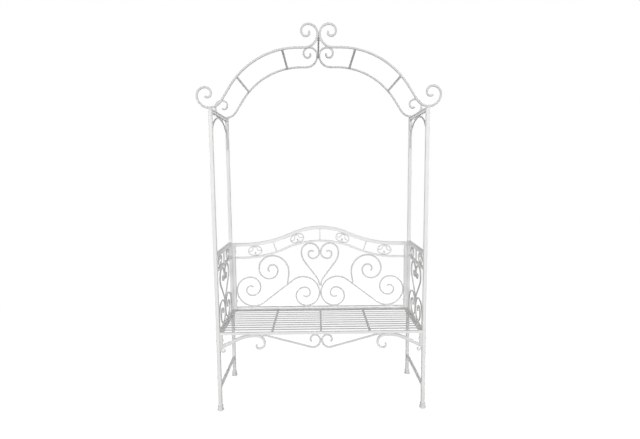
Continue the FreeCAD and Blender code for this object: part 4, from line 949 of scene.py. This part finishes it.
frame_welds = []
for side_name, side in SIDES.items():
    x = side * (inner_x - back_half)
    foot, top = (x, POST_Y, SILL_LEVEL - back_half), (x, POST_Y, TOP_WAVE[0] - back_half)
    stile = straight(foot, top, Y_AXIS, back_section)
    add_piece(f"panel_stile_{side_name}", [stile], tube_coat, "tube_paint", f"back_stile_{side_name}")
    outward = (side, 0, 0)
    sill_end, second_end = [(side * stile_inner, POST_Y, level) for level in (SILL_LEVEL, SECOND_WAVE[0])]
    frame_welds.append(collar(sill_end, outward, BACK_TUBE, BACK_TUBE, radius=STILE_BEAD))
    frame_welds.append(collar(second_end, outward, SECOND_TUBE, SECOND_TUBE))
    frame_welds.append(collar(top, Z_AXIS, BACK_TUBE, BACK_TUBE, Y_AXIS, STILE_BEAD))
sill = straight((-stile_inner, POST_Y, SILL_LEVEL), (stile_inner, POST_Y, SILL_LEVEL), Y_AXIS, back_section)
add_piece("panel_sill", [sill], tube_coat, "tube_paint", "back_sill")
add_piece("wavy_top_rail", [wavy_rail(TOP_WAVE, inner_x, back_section)], tube_coat, "tube_paint",
          "back_top_rail")
add_piece("wavy_second_rail", [wavy_rail(SECOND_WAVE, stile_inner, second_section)], tube_coat, "tube_paint",
          "back_second_rail")
add_piece("panel_frame_welds", frame_welds, weld_coat, "tube_paint")

# Rosettes and dividers of the back. Four rosettes and three short square bars stand
# between the wavy rails, each square to the rails where it stands, and are welded in.

OUTER_ROSETTE_X = 0.425
INNER_ROSETTE_X = 0.149
BACK_DIVIDER_X = 0.296
DIVIDER_PLAY = 0.0004
LEAN_STEP = 0.001
PROBES = 4000


def between_rails(x):
    """Middle, lean and clear height of the gap between the two rails near x.

    The lean is the mean slope of both rails, and the height is measured along its normal
    as far as each rail's face.
    """
    spots = np.array([x, x + LEAN_STEP])
    upper = rail_surface(TOP_WAVE, spots, -back_half)
    lower = rail_surface(SECOND_WAVE, spots, SECOND_TUBE / 2)
    lean = math.atan2((upper[1] + lower[1] - upper[0] - lower[0]) / 2, LEAN_STEP)
    middle = (upper[0] + lower[0]) / 2
    probe = np.linspace(0, upper[0] - lower[0], PROBES)

    def reach(direction, wave, offset):
        across = x - direction * probe * math.sin(lean)
        level = middle + direction * probe * math.cos(lean)
        return probe[direction * (rail_surface(wave, across, offset) - level) > 0].max()

    up, down = reach(1, TOP_WAVE, -back_half), reach(-1, SECOND_WAVE, SECOND_TUBE / 2)
    shift = (up - down) / 2
    return complex(x - shift * math.sin(lean), middle + shift * math.cos(lean)), lean, up + down


rosettes, rosette_beads, dividers, divider_beads = [], [], [], []
for side in SIDES.values():
    for offset in (OUTER_ROSETTE_X, INNER_ROSETTE_X):
        centre, lean, clear = between_rails(side * offset)
        bars, tacks = rosette((centre.real, centre.imag), math.degrees(lean), clear, "front", POST_Y)
        rosettes += bars
        rosette_beads += tacks
for offset in (-BACK_DIVIDER_X, 0.0, BACK_DIVIDER_X):
    centre, lean, clear = between_rails(offset)
    upright = 1j * np.exp(1j * lean) * (clear - DIVIDER_PLAY) / 2
    ends = [(spot.real, POST_Y, spot.imag) for spot in (centre - upright, centre + upright)]
    dividers.append(straight(ends[0], ends[1], Y_AXIS, divider_section))
    ahead = np.array([-math.sin(lean), 0, math.cos(lean)])
    divider_beads.append(collar(ends[0], ahead, DIVIDER, DIVIDER, Y_AXIS, DIVIDER_BEAD))
    divider_beads.append(collar(ends[1], -ahead, DIVIDER, DIVIDER, Y_AXIS, DIVIDER_BEAD))
add_piece("panel_rosettes", rosettes, trim_coat, "trim_paint", "back_rosettes")
add_piece("panel_dividers", dividers, flat_coat, "flat_paint", "back_dividers")
add_piece("rosette_welds", rosette_beads, weld_coat, "trim_paint")
add_piece("divider_welds", divider_beads, weld_coat, "flat_paint")

# Back scrollwork. On the sill stand two double scrolls of round bar that meet in the
# middle. An upper scroll hangs over each from the lower wavy rail, and a heart hangs
# between them. The bars are welded where they touch.

BACK_SHOULDER = 0.108
BACK_INWARD = [0.088, 0.067, 0.057, 0.036, 0.028, 0.018]
UPPER_X = 0.315
UPPER_FOOT = 0.260
BACK_HEART_OUTER = 0.057
BACK_HEART_INNER = 0.060
BACK_HEART_CURLS = [0.042, 0.030, 0.022, 0.014]
BACK_HEART_STRAIGHT = 0.1248
BACK_HEART_TAIL = 0.100
FOOT_ANGLE_STEP = 0.01
FOOT_TACK_SHARE = 0.9

low_extreme = (-(stile_inner - PANEL_RADIUS), sill_top + PANEL_RADIUS + BACK_SHOULDER)
high_extreme = (-PANEL_RADIUS, sill_top + PANEL_RADIUS + BACK_INWARD[0])
joining = s_bend(BACK_SHOULDER, BACK_SHOULDER, low_extreme[1] - high_extreme[1],
                 high_extreme[0] - low_extreme[0])
double_path = two_ways(low_extreme, 90, curl(BACK_INWARD, -1), joining + curl(BACK_INWARD, -1),
                       panel_dome)

hollow, _ = hollow_of(SECOND_WAVE)
rail_centre = complex(-half_wave, SECOND_WAVE[0] + hollow)
second_half = SECOND_TUBE / 2
touching = hollow + second_half + PANEL_RADIUS + BACK_INWARD[0]
breast_drop = math.sqrt(touching ** 2 - (-UPPER_X - rail_centre.real) ** 2)
breast_centre = complex(-UPPER_X, rail_centre.imag - breast_drop)
upper_extreme = (-UPPER_X + BACK_SHOULDER, breast_centre.imag + BACK_INWARD[0] - BACK_SHOULDER)
slant_start = bend(low_extreme, -90, joining[:1], 1.0)[0][-1]
slant = math.radians(-90 + joining[0][1])
foot_angles = np.radians(np.arange(0, 90, FOOT_ANGLE_STEP))
foot_ways = 1 - np.cos(foot_angles) + 1j * np.sin(foot_angles)
foot_places = complex(*upper_extreme) - UPPER_FOOT * foot_ways
above_slant = ((foot_places - slant_start) * np.exp(-1j * slant)).imag
foot_corner = PANEL_RADIUS * np.abs(np.cos(math.pi / 2 - foot_angles - slant))
landed = np.argmax(above_slant - PANEL_RADIUS - foot_corner <= 0) - 1
foot_turn = math.degrees(foot_angles[landed])
upper_path = two_ways(upper_extreme, -90, [(UPPER_FOOT, -foot_turn)],
                      [(BACK_SHOULDER, 90)] + curl(BACK_INWARD, 1), panel_dome)

crest_centre = complex(0, SECOND_WAVE[0] + SECOND_WAVE[1] - SECOND_WAVE[2])
lobe_x = PANEL_RADIUS + BACK_HEART_INNER
lobe_reach = SECOND_WAVE[2] - second_half - PANEL_RADIUS - BACK_HEART_OUTER
lobe_centre = complex(-lobe_x, crest_centre.imag + math.sqrt(lobe_reach ** 2 - lobe_x ** 2))
heart_extreme = (-(lobe_x + BACK_HEART_OUTER), lobe_centre.imag)
notch = math.sqrt((BACK_SHOULDER + PANEL_RADIUS) ** 2 - (BACK_SHOULDER - PANEL_RADIUS) ** 2)
point_level = high_extreme[1] + notch
fall, reach = heart_extreme[1] - point_level, -PANEL_RADIUS - heart_extreme[0]
flank = other_radius(BACK_HEART_TAIL, BACK_HEART_STRAIGHT, fall, reach)
heart_path = two_ways(heart_extreme, 90,
                      [(BACK_HEART_OUTER, -90), (BACK_HEART_INNER, -90)] + curl(BACK_HEART_CURLS, -1),
                      s_bend(flank, BACK_HEART_TAIL, fall, reach), panel_dome)

to_rail = (breast_centre - rail_centre) / abs(breast_centre - rail_centre)
to_lobe = (lobe_centre - crest_centre) / abs(lobe_centre - crest_centre)
to_slant = -1j * np.exp(1j * slant)
contacts = [(complex(-stile_inner, low_extreme[1]), -1 + 0j),
            (complex(-(stile_inner - PANEL_RADIUS - BACK_SHOULDER), sill_top), -1j),
            (complex(-(PANEL_RADIUS + BACK_INWARD[0]), sill_top), -1j),
            (rail_centre + (hollow + second_half) * to_rail, -to_rail),
            (crest_centre + (SECOND_WAVE[2] - second_half) * to_lobe, to_lobe),
            (foot_places[landed] + PANEL_RADIUS * FOOT_TACK_SHARE * to_slant, to_slant)]
scroll_beads, halves = [], []
for side_name, side in SIDES.items():
    turn_over = mirrored if side > 0 else tuple
    double, upper, half = [round_bar(turn_over(path), "front", POST_Y, PANEL_RADIUS)
                           for path in (double_path, upper_path, heart_path)]
    add_piece(f"panel_double_scroll_{side_name}", [double], bar_coat, "bar_paint",
              f"back_double_scroll_{side_name}")
    add_piece(f"panel_upper_scroll_{side_name}", [upper], bar_coat, "bar_paint",
              f"back_upper_scroll_{side_name}")
    halves.append(half)
    for spot, towards in contacts:
        if side > 0:
            spot, towards = -spot.conjugate(), -towards.conjugate()
        along = math.atan2(towards.imag, towards.real) + math.pi / 2
        scroll_beads += tack_flat(spot, "front", POST_Y, along, towards, PANEL_RADIUS)
for level in (high_extreme[1], lobe_centre.imag, point_level + TACK_RISE):
    scroll_beads += tack_flat(complex(0, level), "front", POST_Y, math.pi / 2, 1 + 0j, PANEL_RADIUS)
add_piece("panel_heart", halves, bar_coat, "bar_paint", "back_heart")
add_piece("panel_scroll_welds", scroll_beads, weld_coat, "bar_paint")

# Arch hoops. Front and rear arches are each two bent round bars that start in a scroll on
# the base plate over the post, sweep over the seat and curl up beside each other at the
# ridge.

HOOP_RADIUS = 0.006
HOOP_FOOT_X = 0.592
HOOP_FOOT_CURLS = [0.063, 0.044, 0.032, 0.021, 0.014]
HOOP_HEEL = 0.080
HOOP_SHOULDER = 0.440
HOOP_RISE = 0.3085
HOOP_FLAT_X = 0.110
HOOP_NECK = 0.070
HOOP_CROWN_CURLS = [0.050, 0.036, 0.026, 0.017, 0.010]
BASE_PLATE = 0.005
HOOP_SIDES = 20
HOOP_TACK = 0.018

base_top = POST_TOP + BASE_PLATE
hoop_foot = (-HOOP_FOOT_X, base_top + HOOP_RADIUS)
flat_start = (-HOOP_FLAT_X, hoop_foot[1] + HOOP_RISE)
neck_run = -HOOP_RADIUS - HOOP_NECK - flat_start[0]
hoop_path = two_ways(hoop_foot, 180, curl(HOOP_FOOT_CURLS, -1),
                     s_bend(HOOP_HEEL, HOOP_SHOULDER, flat_start[0] - hoop_foot[0], HOOP_RISE)
                     + [(0, neck_run), (HOOP_NECK, 90)] + curl(HOOP_CROWN_CURLS, 1), HOOP_RADIUS * BAR_DOME)
hoop_beads = []
for end_name, end in ENDS.items():
    for side_name, side in SIDES.items():
        turn_over = mirrored if side > 0 else tuple
        hoop = round_bar(turn_over(hoop_path), "front", end * POST_Y, HOOP_RADIUS, HOOP_SIDES)
        add_piece(f"bent_hoop_{end_name}_{side_name}", [hoop], bar_coat, "bar_paint",
                  f"hoop_{end_name}_{side_name}")
        hoop_beads += tack_flat(complex(side * HOOP_FOOT_X, base_top), "front", end * POST_Y, 0.0, -1j,
                                HOOP_RADIUS, HOOP_TACK)
add_piece("hoop_welds", hoop_beads, weld_coat, "bar_paint")

# Ties and plates of the arch. Square bars join the front and rear hoops. A flat plate on
# each side frame carries its hoops, and two more are bolted together at the ridge.

TIE_SIZE = 0.012
LOWER_TIE_ANGLE = 48.6
UPPER_TIE_ANGLE = 11.1
RIDGE_THICKNESS = 0.005
RIDGE_HEIGHT = 0.027
RIDGE_DROP = 0.004
PLATE_CORNER = 0.001
TIE_BEAD = 0.0014
TIE_BEAD_WIDTH = 0.0096
TIE_BEAD_HEIGHT = 0.0072

tie_reach = POST_Y - HOOP_RADIUS
tie_section = square_section(TIE_SIZE, TIE_SIZE, PLATE_CORNER, 3)
base_section = square_section(POST_SIZE, BASE_PLATE, PLATE_CORNER, 3)
ridge_section = square_section(RIDGE_THICKNESS, RIDGE_HEIGHT, PLATE_CORNER, 3)
plate_end = POST_Y + POST_SIZE / 2
plate_level = POST_TOP + BASE_PLATE / 2
ties, base_plates, ridge_plates, tie_beads = [], [], [], []
ridge_level = flat_start[1] + HOOP_NECK - RIDGE_DROP
for side in SIDES.values():
    for angle in (LOWER_TIE_ANGLE, UPPER_TIE_ANGLE):
        lean = math.radians(angle)
        offset = HOOP_FLAT_X + HOOP_SHOULDER * math.sin(lean)
        level = flat_start[1] - HOOP_SHOULDER * (1 - math.cos(lean))
        x = side * offset
        upright = np.array([side * math.sin(lean), 0, math.cos(lean)])
        ties.append(straight((x, -tie_reach, level), (x, tie_reach, level), upright, tie_section))
        tie_beads += [collar((x, end * tie_reach, level), (0, end, 0), TIE_BEAD_WIDTH, TIE_BEAD_HEIGHT,
                             upright, TIE_BEAD) for end in ENDS.values()]
    x = side * POST_X
    base_plates.append(straight((x, -plate_end, plate_level), (x, plate_end, plate_level), Z_AXIS,
                                base_section))
    x = side * RIDGE_THICKNESS / 2
    ridge_plates.append(straight((x, -tie_reach, ridge_level), (x, tie_reach, ridge_level), Z_AXIS,
                                 ridge_section))
add_piece("square_ties", ties, flat_coat, "flat_paint", "arch_ties")
add_piece("hoop_plates", base_plates, flat_coat, "flat_paint", "base_plates")
add_piece("ridge_flats", ridge_plates, flat_coat, "flat_paint", "ridge_plates")
add_piece("tie_welds", tie_beads, weld_coat, "flat_paint")

# Bolts. Zinc-plated M6 hexagon bolts with a washer face hold the seat, the back, the tabs
# and the arch together. Each ends in a nut with a little thread showing.

BOLT_RADIUS = 0.003
HEX_CORNER = 0.010 / math.sqrt(3)
WASHER_RADIUS = 0.0062
WASHER = 0.0009
WASHER_ROUND = 0.0002
WASHER_SIDES = 32
HEAD_HEIGHT = 0.004
NUT_HEIGHT = 0.005
BOLT_TIP = 0.002
THREAD_DEPTH = 0.00025
THREAD_TURNS = 8
THREAD_SIDES = 20
THREAD_HIDDEN = 0.0005
THREAD_END = 0.0004
HEX_CHAMFER = 0.0006
HEAD_CHAMFER_IN = 0.00096
NUT_CHAMFER_IN = 0.00084
ZINC_BRIGHT = (0.88, 0.88, 0.87, 1.0)
ZINC_BLOOM = (0.66, 0.67, 0.69, 1.0)

zinc = bpy.data.materials.new("zinc_plate")
zinc.use_nodes = True
tree = zinc.node_tree
shader = tree.nodes["Principled BSDF"]
shader.inputs["Metallic"].default_value = 0.6
bloom = mottle(tree, tree.nodes.new("ShaderNodeTexCoord").outputs, Scale=240.0, Detail=4.0)
tone = blend_colour(tree, bloom.outputs["Fac"], ZINC_BRIGHT, ZINC_BLOOM)
tree.links.new(tone, shader.inputs["Base Color"])
dull = ramp(tree, bloom.outputs["Fac"], To_Min=0.28, To_Max=0.55)
tree.links.new(dull, shader.inputs["Roughness"])
fine = add_node(tree, "ShaderNodeBump", Strength=0.3, Distance=0.0001)
tree.links.new(bloom.outputs["Fac"], fine.inputs["Height"])
tree.links.new(fine.outputs["Normal"], shader.inputs["Normal"])


def stacked(seat, direction, stations, sides):
    """A prism or disc along a bolt: each station is a distance from the seat and a radius there."""
    distance, radius = np.array(stations).T
    direction = np.array(direction, float)
    across = X_AXIS if direction[2] else Z_AXIS
    places = np.array(seat, float) + distance[:, None] * direction
    ahead = np.tile(direction, (len(distance), 1))
    return carry(round_section(1.0, sides), places, ahead, across, radius)


def bolt_with_nut(seat, direction, grip):
    """Head and washer face outside the grip; nut, washer face and threaded tip on its far side."""
    direction = np.array(direction, float)
    far = np.array(seat, float) - direction * grip
    tip_end = NUT_HEIGHT + BOLT_TIP
    thread = np.linspace(NUT_HEIGHT - THREAD_HIDDEN, tip_end - THREAD_END, 2 * THREAD_TURNS)
    crests = BOLT_RADIUS - THREAD_DEPTH * (np.arange(2 * THREAD_TURNS) % 2)
    tip = list(zip(thread, crests)) + [(tip_end, BOLT_RADIUS - 2 * THREAD_DEPTH)]
    washer = [(0, WASHER_RADIUS - WASHER_ROUND), (WASHER_ROUND, WASHER_RADIUS),
              (WASHER - WASHER_ROUND, WASHER_RADIUS), (WASHER, WASHER_RADIUS - WASHER_ROUND)]
    head = [(WASHER, HEX_CORNER), (HEAD_HEIGHT - HEX_CHAMFER, HEX_CORNER),
            (HEAD_HEIGHT, HEX_CORNER - HEAD_CHAMFER_IN)]
    nut = [(WASHER, HEX_CORNER - HEX_CHAMFER), (WASHER + HEX_CHAMFER, HEX_CORNER),
           (NUT_HEIGHT - HEX_CHAMFER, HEX_CORNER), (NUT_HEIGHT, HEX_CORNER - NUT_CHAMFER_IN)]
    return [stacked(seat, direction, washer, WASHER_SIDES), stacked(seat, direction, head, 6),
            stacked(far, -direction, washer, WASHER_SIDES), stacked(far, -direction, nut, 6),
            stacked(far, -direction, tip, THREAD_SIDES)]


BACK_BOLT_LEVELS = (0.515, 0.850)
TAB_BOLT_DROP = 0.034
BASE_BOLT_Y = 0.100
RIDGE_BOLT_Y = 0.120
outer_x = POST_X + POST_SIZE / 2
support_x = inner_x + SMALL_RAIL
seat_bolt_inset = 1.5 * slat_pitch
bolts = {name: [] for name in ("back", "seat", "tab", "base", "ridge")}
for side in SIDES.values():
    outward = (side, 0, 0)
    for level in BACK_BOLT_LEVELS:
        bolts["back"] += bolt_with_nut((side * outer_x, POST_Y, level), outward, POST_SIZE + BACK_TUBE)
    for y in (rail_front + seat_bolt_inset, rail_rear - seat_bolt_inset):
        seat = (side * support_x, y, bearer_level)
        bolts["seat"] += bolt_with_nut(seat, outward, SMALL_RAIL + SEAT_SIDE_WIDTH)
    seat = (side * outer_x, rail_front, apron_top - TAB_BOLT_DROP)
    bolts["tab"] += bolt_with_nut(seat, outward, POST_SIZE + TAB_WIDTH)
    for end in ENDS.values():
        seat = (side * POST_X, end * BASE_BOLT_Y, base_top)
        bolts["base"] += bolt_with_nut(seat, (0, 0, 1), BASE_PLATE + SMALL_RAIL)
for end in ENDS.values():
    seat = (RIDGE_THICKNESS, end * RIDGE_BOLT_Y, ridge_level)
    bolts["ridge"] += bolt_with_nut(seat, (1, 0, 0), 2 * RIDGE_THICKNESS)
for name, parts in bolts.items():
    add_piece(f"zinc_{name}_bolts", parts, zinc, "fastener", f"{name}_bolts")

# Stage. A floor that looks white and keeps a faint shadow of the arbour: near the feet part
# of its look is plain matte and part is glow, and away from them only the glow is left.

FLOOR_SIZE = 40.0
FLOOR_COLOUR = (0.16, 0.16, 0.16, 1.0)
NEAR_FLOOR = 1.2
FAR_FLOOR = 3.6
NEAR_GLOW_SHARE = 0.6
NEAR_GLOW = 1.68
PURE_WHITE = (1.0, 1.0, 1.0, 1.0)


def seen_directly(tree):
    """One for rays from the camera or off a glossy face, and nought for all others."""
    rays = tree.nodes.new("ShaderNodeLightPath").outputs
    return calculate(tree, "MAXIMUM", rays["Is Camera Ray"], rays["Is Glossy Ray"])


floor_mesh = bpy.data.meshes.new("floor")
half = FLOOR_SIZE / 2
floor_mesh.from_pydata([(-half, -half, 0), (half, -half, 0), (half, half, 0), (-half, half, 0)], [],
                       [(0, 1, 2, 3)])
floor = bpy.data.objects.new("floor", floor_mesh)
bpy.context.scene.collection.objects.link(floor)

floor_material = bpy.data.materials.new("studio_floor")
floor_material.use_nodes = True
tree = floor_material.node_tree
matte = tree.nodes["Principled BSDF"]
matte.inputs["Base Color"].default_value = FLOOR_COLOUR
matte.inputs["Roughness"].default_value = 0.9
matte.inputs["Specular IOR Level"].default_value = 0.0
place = tree.nodes.new("ShaderNodeTexCoord")
away = tree.nodes.new("ShaderNodeVectorMath")
away.operation = "LENGTH"
tree.links.new(place.outputs["Object"], away.inputs[0])
strength = ramp(tree, away.outputs["Value"], From_Min=NEAR_FLOOR, From_Max=FAR_FLOOR,
                To_Min=NEAR_GLOW, To_Max=1.0)
glow = add_node(tree, "ShaderNodeEmission", Color=PURE_WHITE)
tree.links.new(strength, glow.inputs["Strength"])
spread = ramp(tree, away.outputs["Value"], From_Min=NEAR_FLOOR, From_Max=FAR_FLOOR,
              To_Min=NEAR_GLOW_SHARE, To_Max=1.0)
blend = tree.nodes.new("ShaderNodeMixShader")
tree.links.new(calculate(tree, "MULTIPLY", seen_directly(tree), spread), blend.inputs["Fac"])
tree.links.new(matte.outputs["BSDF"], blend.inputs[1])
tree.links.new(glow.outputs["Emission"], blend.inputs[2])
tree.links.new(blend.outputs["Shader"], tree.nodes["Material Output"].inputs["Surface"])
floor_mesh.materials.append(floor_material)

# Light. A far soft panel in front gives the front and the rear of the arbour the same light.
# Weaker ones stand to the sides and behind at mid height. The one above is the weakest, so
# that the tops of the seat and the arms stay a little darker. The surround looks white.

WORLD_LIGHT = 0.05
AIM_HEIGHT = 1.1

world = bpy.data.worlds.new("studio")
bpy.context.scene.world = world
world.use_nodes = True
tree = world.node_tree
surround = tree.nodes["Background"]
level = ramp(tree, seen_directly(tree), To_Min=WORLD_LIGHT, To_Max=1.0)
tree.links.new(level, surround.inputs["Strength"])
surround.inputs["Color"].default_value = PURE_WHITE


def soft_panel(name, power, place, width):
    """A square lamp that faces the middle of the arbour."""
    lamp = bpy.data.lights.new(name, "AREA")
    lamp.shape = "SQUARE"
    lamp.size = width
    lamp.energy = power
    panel = bpy.data.objects.new(name, lamp)
    facing = (Vector((0.0, 0.0, AIM_HEIGHT)) - Vector(place)).to_track_quat("-Z", "Y")
    panel.matrix_world = Matrix.Translation(place) @ facing.to_matrix().to_4x4()
    bpy.context.scene.collection.objects.link(panel)


soft_panel("front_panel", power=1150.0, place=(0.0, -14.0, 2.6), width=5.0)
soft_panel("top_panel", power=40.0, place=(0.0, 0.0, 6.0), width=4.0)
for side_name, side in SIDES.items():
    soft_panel(f"{side_name}_panel", power=54.0, place=(side * 3.85, -2.3, 1.5), width=2.6)
    soft_panel(f"rear_{side_name}_panel", power=115.0, place=(side * 3.6, 4.9, 1.5), width=1.2)

# Camera. It stands in front of the middle of the seat at a little under eye height, with a
# wide lens, and looks slightly down.

CAMERA_ACROSS = -0.0197
CAMERA_BACK = 2.5784
CAMERA_HEIGHT = 1.3552
CAMERA_YAW = -0.0079
CAMERA_DOWN = 0.1069
CAMERA_ROLL = -0.0087
IMAGE_WIDTH = 640
FOCAL_PIXELS = 430.0

camera_data = bpy.data.cameras.new("camera")
camera_data.sensor_width = 36.0
camera_data.lens = FOCAL_PIXELS * camera_data.sensor_width / IMAGE_WIDTH
camera = bpy.data.objects.new("camera", camera_data)
ahead = Vector((-math.sin(CAMERA_YAW), math.cos(CAMERA_YAW), 0))
right = Vector((math.cos(CAMERA_YAW), math.sin(CAMERA_YAW), 0))
upward = math.sin(CAMERA_DOWN) * ahead + math.cos(CAMERA_DOWN) * Vector((0, 0, 1))
rolled_right = math.cos(CAMERA_ROLL) * right + math.sin(CAMERA_ROLL) * upward
rolled_up = math.cos(CAMERA_ROLL) * upward - math.sin(CAMERA_ROLL) * right
stance = Matrix((rolled_right, rolled_up, rolled_right.cross(rolled_up))).transposed()
camera.matrix_world = Matrix.Translation((CAMERA_ACROSS, -CAMERA_BACK, CAMERA_HEIGHT)) @ stance.to_4x4()
bpy.context.scene.collection.objects.link(camera)
bpy.context.scene.camera = camera
bpy.context.scene.view_settings.view_transform = "Standard"
